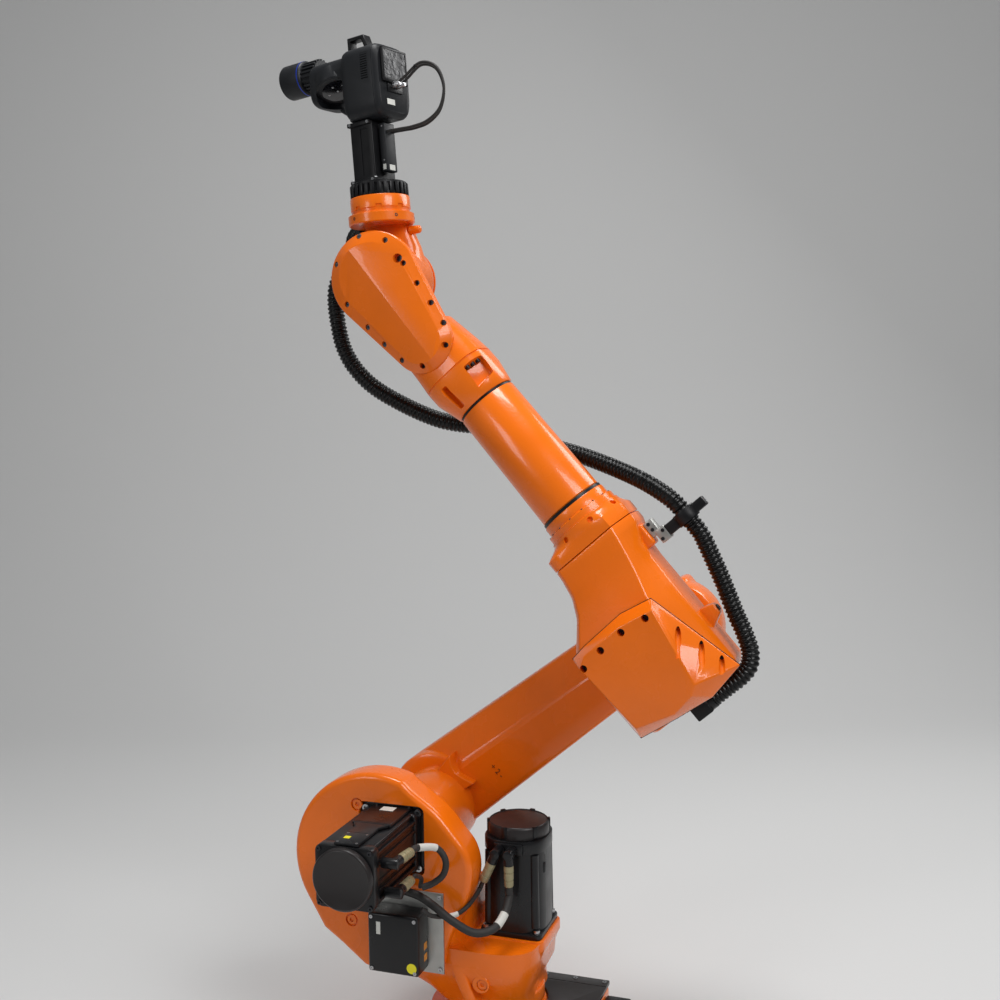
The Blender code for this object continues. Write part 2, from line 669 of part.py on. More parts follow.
def build_a2_motor():
    half = A2_MOTOR_SIZE / 2.0
    half_height = A2_MOTOR_HEIGHT / 2.0
    start = EAR_OUTER - MOTOR_FACE_DEPTH + GAP
    outline = superellipse(half, half_height, 6.0, 32)
    body = add_object("a2_motor_body", loft_mesh("a2_motor_body", [
        [(A2_MOTOR_X + x, y, A2_MOTOR_Z + z) for x, z in outline] for y in (start, A2_MOTOR_END)]),
        column_frame, BLACK, 0.4)
    flange = add_object("a2_motor_flange", plate_mesh("a2_motor_flange", rounded_rectangle(
        half + A2_FLANGE_RIM, half_height + A2_FLANGE_RIM, A2_MOTOR_FLANGE,
        centre_x=A2_MOTOR_X, centre_z=A2_MOTOR_Z), start, start + A2_MOTOR_FLANGE), column_frame)
    join(body, flange)
    turned("a2_motor_cap", [
        (0.0, A2_CAP_DEPTH), (A2_CAP_RADIUS * 0.95, A2_CAP_DEPTH),
        (A2_CAP_RADIUS, A2_CAP_DEPTH * 0.85), (A2_CAP_RADIUS, 0.0), (0.0, 0.0),
    ], column_frame, (A2_MOTOR_X, A2_MOTOR_END + GAP, A2_MOTOR_Z), (0.0, 1.0, 0.0), SLATE, 0.5)
    top = A2_MOTOR_Z + half_height + GAP
    middle = A2_MOTOR_X + TERMINAL_SHIFT
    front = A2_MOTOR_END - GAP
    back = start + A2_MOTOR_FLANGE + 2.0 * GAP
    step = (front + back) / 2.0
    terminal = add_object("a2_terminal_box", box_mesh(
        "a2_terminal_box", (middle - TERMINAL_WIDTH / 2.0, back, top),
        (middle + TERMINAL_WIDTH / 2.0, step, top + TERMINAL_HEIGHT)), column_frame, BLACK, 0.4)
    nose = add_object("a2_terminal_nose", box_mesh(
        "a2_terminal_nose", (middle - TERMINAL_FRONT_WIDTH / 2.0, step - OVERRUN, top),
        (middle + TERMINAL_FRONT_WIDTH / 2.0, front, top + TERMINAL_HEIGHT * 0.9)), column_frame)
    join(terminal, nose)


def build_signal_box():
    back = EAR_OUTER + GAP
    plate = add_object("mounting_plate", box_mesh(
        "mounting_plate", (PLATE_RIGHT, back, PLATE_BOTTOM),
        (PLATE_LEFT, back + PLATE_THICKNESS, PLATE_TOP)), column_frame, SILVER, 0.45, 0.7)
    bevel(plate, PLATE_THICKNESS / 4.0, 1)
    box_back = back + PLATE_THICKNESS + GAP
    box = add_object("signal_box", box_mesh(
        "signal_box", (BOX_RIGHT, box_back, BOX_BOTTOM),
        (BOX_LEFT, BOX_FRONT, BOX_TOP)), column_frame, BLACK, 0.35)
    bevel(box, BOX_COVER / 3.0, 2)


# Where the motors' leads run, points chosen by hand in metres on the column
A1_POWER_ROUTE = (
    (-0.060, 0.118, 0.322), (-0.050, 0.150, 0.306), (-0.022, 0.176, 0.306), (0.014, 0.188, 0.328),
    (0.046, 0.188, 0.349), (0.080, 0.180, 0.362), (0.118, 0.172, 0.366))
A2_POWER_ROUTE = (
    (0.040, 0.196, 0.462), (0.024, 0.192, 0.440), (0.028, 0.192, 0.414), (0.047, 0.194, 0.396),
    (0.066, 0.200, 0.388))
A1_SIGNAL_ROUTE = (
    (0.002, 0.140, 0.338), (0.022, 0.160, 0.326), (0.048, 0.196, 0.336), (0.064, 0.210, 0.352))
A2_SIGNAL_ROUTE = ((0.072, 0.190, 0.400), (0.080, 0.176, 0.378))


def build_leads():
    a1_side = A1_MOTOR_Y + A1_MOTOR_RADIUS + PLUG_ELBOW / 4.0 + GAP
    power_end = plug("a1_power_plug", column_frame,
                     (A1_MOTOR_X + A1_PLUG_SHIFTS[0], a1_side, A1_PLUG_HEIGHT),
                     (0.0, 1.0, 0.0), (0.0, 0.0, -1.0))
    signal_end = plug("a1_signal_plug", column_frame,
                      (A1_MOTOR_X + A1_PLUG_SHIFTS[1], a1_side, A1_PLUG_HEIGHT),
                      (0.0, 1.0, 0.0), (0.45, 0.0, -1.0))
    side = A2_MOTOR_X - A2_MOTOR_SIZE / 2.0 - GAP
    a2_power_end = plug("a2_power_plug", column_frame,
                        (side, A2_MOTOR_END - A2_POWER_SETBACK, A2_MOTOR_Z + A2_POWER_RISE),
                        (-1.0, 0.0, 0.0), (-0.1, -1.0, 0.0))
    a2_signal_end = plug("a2_signal_plug", column_frame,
                         (side, A2_MOTOR_END - A2_SIGNAL_SETBACK, A2_MOTOR_Z - A2_SIGNAL_DROP),
                         (-1.0, 0.0, 0.0), (0.0, -1.0, 0.0))
    for name, start, route, radius in (
            ("a1_power_lead", power_end, A1_POWER_ROUTE, POWER_LEAD_RADIUS),
            ("a2_power_lead", a2_power_end, A2_POWER_ROUTE, POWER_LEAD_RADIUS * 0.8),
            ("a1_signal_lead", signal_end, A1_SIGNAL_ROUTE, SIGNAL_LEAD_RADIUS),
            ("a2_signal_lead", a2_signal_end, A2_SIGNAL_ROUTE, SIGNAL_LEAD_RADIUS)):
        add_object(name, tube_mesh(name, smooth_route([*start, *route], 5), radius),
                   column_frame, RUBBER, 0.6)


def link_ring(z, top, crease, bottom):
    """Cross-section of the link: sloped upper face, upright side, flat far side."""
    return [(bottom_x, y, z) for bottom_x, y in (
        (-bottom, -LINK_OUTER), (-bottom, -LINK_INNER), (crease, -LINK_INNER),
        (top, -LINK_INNER - LINK_TOP_EDGE), (top, -LINK_OUTER))]


def build_link():
    link = add_object("link_arm", loft_mesh("link_arm", [
        link_ring(0.0, LINK_ROOT_TOP, LINK_ROOT_CREASE, LINK_ROOT_BOTTOM),
        link_ring(LINK_LENGTH, LINK_TIP_TOP, LINK_TIP_CREASE, LINK_TIP_BOTTOM),
        link_ring(LINK_LENGTH + LINK_OVERHANG, LINK_TIP_TOP * 0.87, LINK_TIP_CREASE * 0.7,
                  LINK_TIP_BOTTOM * 0.47)]),
        link_frame, ORANGE, 0.3)
    bevel(link, LINK_EDGE, 2)
    inner = EAR_INNER - RUNNING_GAP
    boss = turned("link_boss", [
        (0.0, inner), (LINK_COVER_RADIUS, inner), (LINK_COVER_RADIUS, -LINK_INNER - 2.0 * LINK_EDGE),
        (0.0, -LINK_INNER - 2.0 * LINK_EDGE)],
        link_frame, (0.0, 0.0, 0.0), (0.0, 1.0, 0.0))
    root = turned("link_root", [
        (0.0, -LINK_INNER - LINK_EDGE / 2.0), (LINK_HUB_RADIUS, -LINK_INNER - LINK_EDGE / 2.0),
        (LINK_HUB_RADIUS, -LINK_OUTER + LINK_EDGE), (LINK_HUB_RADIUS - LINK_EDGE, -LINK_OUTER),
        (0.0, -LINK_OUTER)],
        link_frame, (LINK_HUB_SHIFT, 0.0, 0.0), (0.0, 1.0, 0.0))
    head = turned("link_head", [
        (0.0, -LINK_INNER), (LINK_HEAD_RADIUS - LINK_EDGE, -LINK_INNER),
        (LINK_HEAD_RADIUS, -LINK_INNER - LINK_EDGE),
        (LINK_HEAD_RADIUS, -LINK_OUTER + 3.0 * LINK_EDGE),
        (LINK_HEAD_RADIUS - LINK_EDGE, -LINK_OUTER + LINK_EDGE),
        (LINK_HEAD_RADIUS - 3.0 * LINK_EDGE, -LINK_OUTER), (0.0, -LINK_OUTER)],
        link_frame, (LINK_HEAD_SHIFT, 0.0, LINK_LENGTH), (0.0, 1.0, 0.0))
    join(link, head, root, boss)
    turned("shoulder_bearing_ring", [
        (0.0, EAR_INNER - GAP), (LINK_COVER_RADIUS - LINK_EDGE, EAR_INNER - GAP),
        (LINK_COVER_RADIUS - LINK_EDGE, inner + GAP), (0.0, inner + GAP)],
        link_frame, (0.0, 0.0, 0.0), (0.0, 1.0, 0.0), BLACK, 0.5)
    for name, z in (("link_root_cover", 0.0), ("link_head_cover", LINK_LENGTH)):
        turned(name, [
            (0.0, LINK_COVER_DEPTH), (LINK_COVER_RADIUS * 0.8, LINK_COVER_DEPTH),
            (LINK_COVER_RADIUS * 0.9, LINK_COVER_DEPTH * 0.6), (LINK_COVER_RADIUS * 0.9, 0.0),
            (0.0, 0.0)],
            link_frame, (0.0, -LINK_OUTER - GAP, z), (0.0, -1.0, 0.0), ORANGE, 0.3)


# Elbow sections: place along the arm, near side, far side, top, crease, bottom
ELBOW_SECTION_SHARES = (
    (-1.00, 0.90, 0.92, 0.60, 1.60, 0.86),
    (-0.86, 1.00, 1.00, 0.75, 2.20, 0.94),
    (0.40, 1.00, 1.00, 0.76, 1.05, 1.00),
    (0.61, 0.88, 0.98, 0.76, 1.55, 0.74),
    (0.76, 0.84, 0.94, 0.80, 1.85, 0.63),
    (0.92, 0.83, 0.92, 1.00, 2.10, 0.585),
    (1.00, 0.82, 0.92, 1.00, 2.20, 0.58),
)


def elbow_ring(shares):
    along, near, far, top, crease, bottom = shares
    x = along * (ELBOW_NECK_END if along > 0.0 else ELBOW_REAR)
    near *= ELBOW_SIDE - GAP
    far *= ELBOW_FAR
    top *= ELBOW_TOP
    crease *= ELBOW_CREASE
    bottom *= ELBOW_BOTTOM
    return [(x, y, z) for y, z in (
        (near, crease), (near * 0.35, top), (-far * 0.55, top), (-far, top * 0.5),
        (-far, -bottom * 0.82), (-far * 0.7, -bottom), (near * 0.8, -bottom), (near, -bottom * 0.9))]


COVER_OUTLINE_SHARES = (
    (0.80, -1.03), (0.89, -0.22), (0.76, 0.14), (-0.97, 0.49), (-1.08, -0.06), (-0.96, -0.95))
COVER_FACE_SHARES = (
    (0.62, -0.90), (0.72, -0.14), (0.60, 0.06), (-0.86, 0.06), (-0.98, -0.15), (-0.84, -0.86))


def build_elbow():
    housing = add_object("elbow_housing", loft_mesh(
        "elbow_housing", [elbow_ring(shares) for shares in ELBOW_SECTION_SHARES]),
        forearm_axis, ORANGE, 0.3)
    bevel(housing, LINK_EDGE / 2.0, 2, 25.0)
    faces = []
    for y, shares in ((ELBOW_SIDE, COVER_OUTLINE_SHARES), (ELBOW_COVER_OUTER, COVER_FACE_SHARES)):
        faces.append([(x * ELBOW_REAR, y, z * ELBOW_BOTTOM) for x, z in shares])
    cover = add_object("elbow_cover", loft_mesh("elbow_cover", faces), forearm_axis, ORANGE, 0.3)
    bevel(cover, LINK_EDGE * 0.7, 3, 20.0)
    turned("elbow_bearing_ring", [
        (0.0, -ELBOW_FAR - GAP), (LINK_COVER_RADIUS * 0.8, -ELBOW_FAR - GAP),
        (LINK_COVER_RADIUS * 0.8, -LINK_INNER + GAP), (0.0, -LINK_INNER + GAP)],
        elbow_frame, (0.0, 0.0, 0.0), (0.0, 1.0, 0.0), BLACK, 0.5)
    start = ELBOW_NECK_END + GAP
    turned("elbow_flange", [
        (0.0, A4_RING_START), (A4_RING_RADIUS, A4_RING_START),
        (A4_RING_RADIUS, A4_RING_START - 2.0 * OVERRUN),
        (A4_RING_RADIUS * 1.08, A4_RING_START - 2.5 * OVERRUN),
        (A4_RING_RADIUS * 1.12, A4_RING_START - 4.0 * OVERRUN),
        (ELBOW_FLANGE_RADIUS, start + OVERRUN), (ELBOW_FLANGE_RADIUS, start), (0.0, start)],
        forearm_axis, (0.0, 0.0, 0.0), (1.0, 0.0, 0.0), ORANGE, 0.3)
    turned("forearm_seal_ring", [
        (0.0, A4_RING_START + A4_GAP - GAP), (A4_RING_RADIUS * 0.9, A4_RING_START + A4_GAP - GAP),
        (A4_RING_RADIUS * 0.9, A4_RING_START + GAP), (0.0, A4_RING_START + GAP)],
        forearm_axis, (0.0, 0.0, 0.0), (1.0, 0.0, 0.0), BLACK, 0.5)


# The clamp's plane crosses the forearm's axis at right angles
CLAMP_ALONG = 0.156
CLAMP_RISE = 0.150
BRACKET_FOOT_RISE = ELBOW_TOP + GAP


def build_hose_clamp():
    low = CLAMP_RISE - HOSE_RADIUS - LINK_EDGE
    block = add_object("hose_bracket", box_mesh(
        "hose_bracket", (CLAMP_ALONG - CLAMP_WIDTH * 0.6, -CLAMP_WIDTH / 2.0, BRACKET_FOOT_RISE),
        (CLAMP_ALONG + CLAMP_WIDTH * 0.6, CLAMP_WIDTH / 2.0, low - GAP)),
        forearm_axis, SILVER, 0.35, 0.8)
    bevel(block, LINK_EDGE / 5.0, 1)
    arm = add_object("hose_clamp", box_mesh(
        "hose_clamp", (CLAMP_ALONG - CLAMP_WIDTH / 2.0, -HOSE_RADIUS - 2.0 * GAP, low),
        (CLAMP_ALONG + CLAMP_WIDTH / 2.0, HOSE_RADIUS + 2.0 * GAP,
         CLAMP_RISE + HOSE_RADIUS + LINK_EDGE)), forearm_axis, BLACK, 0.5)
    bevel(arm, LINK_EDGE / 4.0, 1)
    cut(arm, add_object("hose_bore", rod_mesh(
        "hose_bore", (CLAMP_ALONG - CLAMP_WIDTH, 0.0, CLAMP_RISE),
        (CLAMP_ALONG + CLAMP_WIDTH, 0.0, CLAMP_RISE), HOSE_RADIUS + GAP,
        sides=SMALL_SIDES), forearm_axis))


# Where the hose runs, points chosen by hand in metres along the forearm's frame
LOWER_ROUTE = (
    (-0.1225, 0.010, 0.020), (-0.1225, 0.010, 0.040), (-0.117, 0.009, 0.064),
    (-0.098, 0.007, 0.083), (-0.066, 0.005, 0.096), (-0.037, 0.003, 0.104), (-0.009, 0.002, 0.113),
    (0.031, 0.0, 0.126), (0.065, 0.0, 0.136), (0.099, 0.0, 0.1455), (0.118, 0.0, 0.1495))
MIDDLE_ROUTE = (
    (0.165, 0.0, 0.150), (0.174, 0.0, 0.150), (0.184, -0.001, 0.1492), (0.210, -0.007, 0.1430),
    (0.255, -0.026, 0.124), (0.310, -0.056, 0.092),
    (0.373, -0.080, 0.052), (0.440, -0.092, 0.004), (0.480, -0.094, -0.028),
    (0.498, -0.094, -0.0382))
UPPER_ROUTE = (
    (0.522, -0.094, -0.0518), (0.540, -0.094, -0.062), (0.607, -0.095, -0.121),
    (0.691, -0.100, -0.166), (0.770, -0.100, -0.192), (0.842, -0.100, -0.190),
    (0.905, -0.100, -0.160), (0.955, -0.100, -0.118))
HAND_ROUTE = ((0.030, -0.146), (0.008, -0.124))


def build_hoses():
    """The hose in three runs: elbow to clamp, clamp to clip, clip to hand."""
    rear = -ELBOW_REAR - GAP
    out = -ELBOW_REAR - GLAND_OUT
    collar = GLAND_RISE - CLAMP_WIDTH / 2.0
    gland = add_object("hose_gland", box_mesh(
        "hose_gland", (2.0 * out - rear, GLAND_SIDE - GLAND_BLOCK / 2.0, collar - GLAND_BLOCK),
        (rear, GLAND_SIDE + GLAND_BLOCK / 2.0, collar)), forearm_axis, BLACK, 0.5)
    bevel(gland, LINK_EDGE / 4.0, 1)
    join(gland, add_object("gland_collar", rod_mesh(
        "gland_collar", (out, GLAND_SIDE, collar - OVERRUN), (out, GLAND_SIDE, GLAND_RISE),
        GLAND_OUT - 2.0 * GAP, sides=SMALL_SIDES), forearm_axis))
    start = GLAND_RISE + GAP
    lower = smooth_route([
        (out, GLAND_SIDE, start), (out, GLAND_SIDE, start + OVERRUN),
        (out, GLAND_SIDE, start + 2.0 * OVERRUN), *LOWER_ROUTE,
        (CLAMP_ALONG - 2.0 * OVERRUN, 0.0, CLAMP_RISE), (CLAMP_ALONG - GAP, 0.0, CLAMP_RISE)], 4)
    add_object("hose_lower", tube_mesh("hose_lower", lower, HOSE_RADIUS), forearm_axis, RUBBER, 0.5)
    middle = smooth_route([
        (CLAMP_ALONG, 0.0, CLAMP_RISE), *MIDDLE_ROUTE, (CLIP_ALONG - GAP, CLIP_SIDE, CLIP_RISE)], 4)
    add_object("hose_middle", tube_mesh("hose_middle", middle, HOSE_RADIUS), forearm_frame,
               RUBBER, 0.5)
    end_rise = [-(COLLAR_RADIUS + GLAND_LENGTH + 2.0 * GAP + HOSE_RADIUS * step)
                for step in (0.0, 0.5, 1.0)]
    angle = math.radians(GLAND_ANGLE)
    side = math.cos(angle)
    rise = math.sin(angle)
    to_hand = hand_frame.matrix_world.inverted() @ forearm_frame.matrix_world
    upper = [to_hand @ Vector(point) for point in ((CLIP_ALONG, CLIP_SIDE, CLIP_RISE), *UPPER_ROUTE)]
    upper += [Vector((GLAND_ALONG - back, out * side, out * rise)) for back, out in HAND_ROUTE]
    upper += [Vector((GLAND_ALONG, out * side, out * rise)) for out in reversed(end_rise)]
    add_object("hose_upper", tube_mesh("hose_upper", smooth_route(upper, 4), HOSE_RADIUS),
               hand_frame, RUBBER, 0.5)
    turned("hand_hose_gland", [
        (0.0, GLAND_LENGTH), (HOSE_RADIUS * 1.2, GLAND_LENGTH), (HOSE_RADIUS * 1.2, 0.0),
        (0.0, 0.0)],
        hand_frame, (GLAND_ALONG, -(COLLAR_RADIUS + GAP) * side, -(COLLAR_RADIUS + GAP) * rise),
        (0.0, -side, -rise), BLACK, 0.5, 0.0, SMALL_SIDES)
    clip = add_object("hose_clip", box_mesh(
        "hose_clip", (CLIP_ALONG - CLAMP_WIDTH / 2.0, CLIP_SIDE - HOSE_RADIUS - LINK_EDGE / 2.0,
                      CLIP_RISE - HOSE_RADIUS - LINK_EDGE),
        (CLIP_ALONG + CLAMP_WIDTH / 2.0, CLIP_FOOT, CLIP_RISE + HOSE_RADIUS + LINK_EDGE)),
        forearm_frame, BLACK, 0.5)
    bevel(clip, LINK_EDGE / 4.0, 1)
    cut(clip, add_object("clip_bore", rod_mesh(
        "clip_bore", (CLIP_ALONG - CLAMP_WIDTH, CLIP_SIDE, CLIP_RISE + CLAMP_WIDTH * 0.57),
        (CLIP_ALONG + CLAMP_WIDTH, CLIP_SIDE, CLIP_RISE - CLAMP_WIDTH * 0.57),
        HOSE_RADIUS + 2.0 * GAP, sides=SMALL_SIDES), forearm_frame))
    cut(clip, add_object("clip_seat", rod_mesh(
        "clip_seat", (CLIP_ALONG - CLAMP_WIDTH, 0.0, 0.0), (CLIP_ALONG + CLAMP_WIDTH, 0.0, 0.0),
        TUBE_RADIUS_LOW, sides=SIDES), forearm_frame))


def build_forearm():
    start = A4_RING_START + A4_GAP
    turned("forearm_tube", [
        (0.0, TUBE_END), (TUBE_RADIUS_HIGH, TUBE_END), (TUBE_RADIUS_LOW, start), (0.0, start)],
        forearm_frame, (0.0, 0.0, 0.0), (1.0, 0.0, 0.0), ORANGE, 0.3)
    wrist_start = TUBE_END + WRIST_SEAL
    turned("wrist_seal_ring", [
        (0.0, wrist_start - GAP), (TUBE_RADIUS_HIGH * 0.97, wrist_start - GAP),
        (TUBE_RADIUS_HIGH * 0.97, TUBE_END + GAP), (0.0, TUBE_END + GAP)],
        forearm_frame, (0.0, 0.0, 0.0), (1.0, 0.0, 0.0), BLACK, 0.5)
    radius = TUBE_RADIUS_HIGH
    sections = (
        (wrist_start, radius, radius, 2.0, 0.0, 0.0),
        (WRIST_ROUND_END, radius * 1.16, radius * 1.14, 2.6, -WRIST_DROP * 0.7, 0.0),
        (WRIST_NECK_END - WRIST_NECK_TAPER, radius * 1.10, radius, 3.0, -WRIST_DROP, 0.0),
        (WRIST_NECK_END, radius, radius * 0.72, 3.4, -WRIST_DROP * 1.7, WRIST_DROP * 0.7),
    )
    rings = []
    for x, half_z, half_y, power, shift_z, shift_y in sections:
        ring = superellipse(half_y, half_z, power, 32)
        rings.append([(x, y + shift_y, z + shift_z) for y, z in ring])
    housing = add_object("wrist_housing", loft_mesh("wrist_housing", rings), forearm_frame,
                         ORANGE, 0.3)
    tail_x = FOREARM_LENGTH - WRIST_ARM_TAIL
    arm = add_object("wrist_arm", plate_mesh("wrist_arm", tapered_stadium(
        FOREARM_LENGTH, 0.0, WRIST_ARM_RADIUS, tail_x, -WRIST_DROP, WRIST_ARM_TAIL_RADIUS),
        WRIST_ARM_INNER, WRIST_ARM_OUTER), forearm_frame)
    join(housing, arm)
    cut(housing, add_object("belt_seat", plate_mesh("belt_seat", tapered_stadium(
        FOREARM_LENGTH, 0.0, BELT_COVER_RADIUS + GAP, tail_x, -WRIST_DROP, BELT_COVER_TAIL_RADIUS + GAP),
        WRIST_ARM_OUTER, BELT_COVER_OUTER + OVERRUN), forearm_frame))
    cover = add_object("belt_cover", plate_mesh("belt_cover", tapered_stadium(
        FOREARM_LENGTH, 0.0, BELT_COVER_RADIUS, tail_x, -WRIST_DROP, BELT_COVER_TAIL_RADIUS),
        WRIST_ARM_OUTER + GAP, BELT_COVER_OUTER), forearm_frame, ORANGE, 0.3)
    bevel(cover, BELT_COVER_BEVEL, 2, 50.0)


def build_hand():
    inner = WRIST_ARM_INNER - RUNNING_GAP
    collar = turned("hand_housing", [
        (0.0, FLANGE_REACH), (FLANGE_RADIUS, FLANGE_REACH), (FLANGE_RADIUS, COLLAR_END),
        (COLLAR_RADIUS, COLLAR_END), (COLLAR_RADIUS, COLLAR_START), (0.0, COLLAR_START)],
        hand_frame, (0.0, 0.0, 0.0), (1.0, 0.0, 0.0), ORANGE, 0.3)
    hub = turned("hand_hub", [
        (0.0, inner), (HAND_HUB_RADIUS, inner), (HAND_HUB_RADIUS, -HAND_FAR), (0.0, -HAND_FAR)],
        hand_frame, (0.0, 0.0, 0.0), (0.0, 1.0, 0.0))
    neck_rings = []
    for x, half_y, half_z in HAND_NECK_SECTIONS:
        ring = superellipse(half_y, half_z, 3.0, 24)
        neck_rings.append([(x, y + HAND_NECK_SHIFT, z) for y, z in ring])
    neck = add_object("hand_neck", loft_mesh("hand_neck", neck_rings), hand_frame)
    join(collar, hub, neck)
    turned("wrist_bearing_ring", [
        (0.0, WRIST_ARM_INNER - GAP), (HAND_HUB_RADIUS * 0.8, WRIST_ARM_INNER - GAP),
        (HAND_HUB_RADIUS * 0.8, inner + GAP), (0.0, inner + GAP)],
        hand_frame, (0.0, 0.0, 0.0), (0.0, 1.0, 0.0), BLACK, 0.5)
    turned("hand_far_cap", [
        (0.0, HAND_CAP_DEPTH), (HAND_HUB_RADIUS * 0.55, HAND_CAP_DEPTH),
        (HAND_HUB_RADIUS * 0.85, HAND_CAP_DEPTH * 0.6), (HAND_HUB_RADIUS * 0.95, 0.0), (0.0, 0.0)],
        hand_frame, (0.0, -HAND_FAR - GAP, 0.0), (0.0, -1.0, 0.0), ORANGE, 0.3)


def build_tool():
    ring = []
    count = ADAPTER_RIBS * 2
    for i in range(count):
        angle = 2.0 * math.pi * i / count
        radius = ADAPTER_RADIUS if i % 2 else ADAPTER_RADIUS * 0.96
        ring.append((radius * math.cos(angle), radius * math.sin(angle)))
    add_object("tool_adapter_ring", loft_mesh("tool_adapter_ring", [
        [(x, y, z) for y, z in ring] for x in (2.0 * GAP, ADAPTER_DEPTH)]), tool_frame, BLACK, 0.5)
    top = POST_TOP - FLANGE_REACH
    post = add_object("tool_post", box_mesh(
        "tool_post", (ADAPTER_DEPTH + GAP, -POST_DEPTH / 2.0, -POST_WIDTH / 2.0 - POST_SHIFT),
        (top, POST_DEPTH / 2.0, POST_WIDTH / 2.0 - POST_SHIFT)), tool_frame, BLACK, 0.45)
    bevel(post, LINK_EDGE / 4.0, 1)
    side = POST_WIDTH / 2.0 - POST_SHIFT + GAP
    interface = add_object("interface_box", box_mesh(
        "interface_box", (INTERFACE_START - FLANGE_REACH, -INTERFACE_DEPTH / 2.0, side),
        (INTERFACE_END - FLANGE_REACH, INTERFACE_DEPTH / 2.0, side + INTERFACE_WIDTH)),
        tool_frame, SLATE, 0.45)
    bevel(interface, LINK_EDGE / 4.0, 1)
    bottom = top + GAP
    body_rings = []
    for z, grow in ((SCANNER_FRONT, 0.92), (SCANNER_FRONT + SCANNER_EDGE, 1.0),
                    (SCANNER_REAR - SCANNER_EDGE, 1.0), (SCANNER_REAR, 0.86)):
        ring = superellipse(SCANNER_HEIGHT / 2.0 * grow, SCANNER_WIDTH / 2.0 * grow, 6.0, 24)
        body_rings.append([(bottom + SCANNER_HEIGHT / 2.0 + x, y, z) for x, y in ring])
    body = add_object("scanner_body", loft_mesh("scanner_body", body_rings), tool_frame, SLATE, 0.5)
    pod_z = SCANNER_FRONT - POD_DEPTH
    pod_rings = []
    for z, grow in ((pod_z, 0.90), (pod_z + SCANNER_EDGE, 1.0), (SCANNER_FRONT + SCANNER_EDGE, 1.0)):
        ring = superellipse((POD_HIGH - POD_LOW) / 2.0 * grow, POD_WIDTH / 2.0 * grow, 4.0, 24)
        pod_rings.append([(bottom + (POD_LOW + POD_HIGH) / 2.0 + x, y, z) for x, y in ring])
    join(body, add_object("scanner_pod", loft_mesh("scanner_pod", pod_rings), tool_frame))
    barrel_x = bottom + SCANNER_HEIGHT * 0.81
    turned("scanner_barrel", [
        (0.0, BARREL_LENGTH + HOOD_LENGTH), (HOOD_RADIUS, BARREL_LENGTH + HOOD_LENGTH),
        (HOOD_RADIUS, BARREL_LENGTH), (BARREL_RADIUS, BARREL_LENGTH), (BARREL_RADIUS, 0.0),
        (0.0, 0.0)],
        tool_frame, (barrel_x, 0.0, pod_z - GAP), (0.0, 0.0, -1.0), SLATE, 0.5)
    rear_z = SCANNER_REAR + GAP
    rear = add_object("scanner_rear_cover", box_mesh(
        "scanner_rear_cover", (bottom + REAR_COVER_START, -SCANNER_WIDTH * 0.36, rear_z),
        (bottom + REAR_COVER_END, SCANNER_WIDTH * 0.36, rear_z + REAR_COVER_DEPTH)), tool_frame,
        BLACK, 0.6)
    bevel(rear, REAR_COVER_DEPTH / 3.0, 1)
    head_top = bottom + SCANNER_HEIGHT + GAP
    handle_top = head_top + HANDLE_RISE
    handle = add_object("scanner_handle", plate_mesh("scanner_handle", [
        (head_top, -HANDLE_LENGTH), (handle_top, -HANDLE_LENGTH), (handle_top, 0.0),
        (head_top, OVERRUN), (head_top, HANDLE_BAR / 4.0),
        (handle_top - HANDLE_BAR, -HANDLE_BAR), (handle_top - HANDLE_BAR, HANDLE_BAR - HANDLE_LENGTH),
        (head_top, HANDLE_BAR - HANDLE_LENGTH)],
        -HANDLE_BAR * 1.5, HANDLE_BAR * 1.5), tool_frame, BLACK, 0.5)
    bevel(handle, HANDLE_BAR / 5.0, 1)


# Where the camera head's leads loop, places chosen by hand in metres along the tool's X and Z axes
LOOP_ROUTE = (
    (0.206, 0.088), (0.222, 0.124), (0.208, 0.158), (0.172, 0.172), (0.136, 0.160), (0.118, 0.130),
    (0.114, 0.096), (0.115, 0.070))


def build_camera_leads():
    """Two leads that loop from the camera head's rear to the box on the post."""
    rear = SCANNER_REAR + GAP
    exit_x = POST_TOP - FLANGE_REACH + LEAD_EXIT
    entry_x = INTERFACE_END - FLANGE_REACH - LEAD_ENTRY
    entry_z = POST_WIDTH / 2.0 - POST_SHIFT + INTERFACE_WIDTH + 2.0 * GAP
    step = LOOP_RADIUS * 2.0
    for name, y, grow in (("camera_lead_power", LEAD_SPREAD, 1.0),
                          ("camera_lead_signal", -LEAD_SPREAD, 0.94)):
        route = smooth_route([
            (exit_x, y, rear), (exit_x, y, rear + step), (exit_x, y, rear + 2.0 * step),
            *[(x, y, z * grow if z > rear else z) for x, z in LOOP_ROUTE],
            (entry_x, y, entry_z + 2.0 * step), (entry_x, y, entry_z + step),
            (entry_x, y, entry_z)], 4)
        add_object(name, tube_mesh(name, route, LOOP_RADIUS), tool_frame, RUBBER, 0.5)


forearm_axis = frame_empty("forearm_axis", elbow_frame, (0.0, 0.0, FOREARM_RISE))

build_base()
build_column()
build_a1_motor()
build_a2_motor()
build_signal_box()
build_leads()
build_link()
build_elbow()
build_hose_clamp()
build_forearm()
build_hand()
build_tool()
bpy.context.view_layer.update()
build_hoses()
build_camera_leads()
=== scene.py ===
"""Industrial robot arm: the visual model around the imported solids.

Every mesh is made in the row frame. Local frames below follow the arm's own axes:
LINK along the link, FORE along the forearm, HAND and TOOL towards the flange.
"""

import math

import bmesh
import bpy
from mathutils import Matrix, Vector


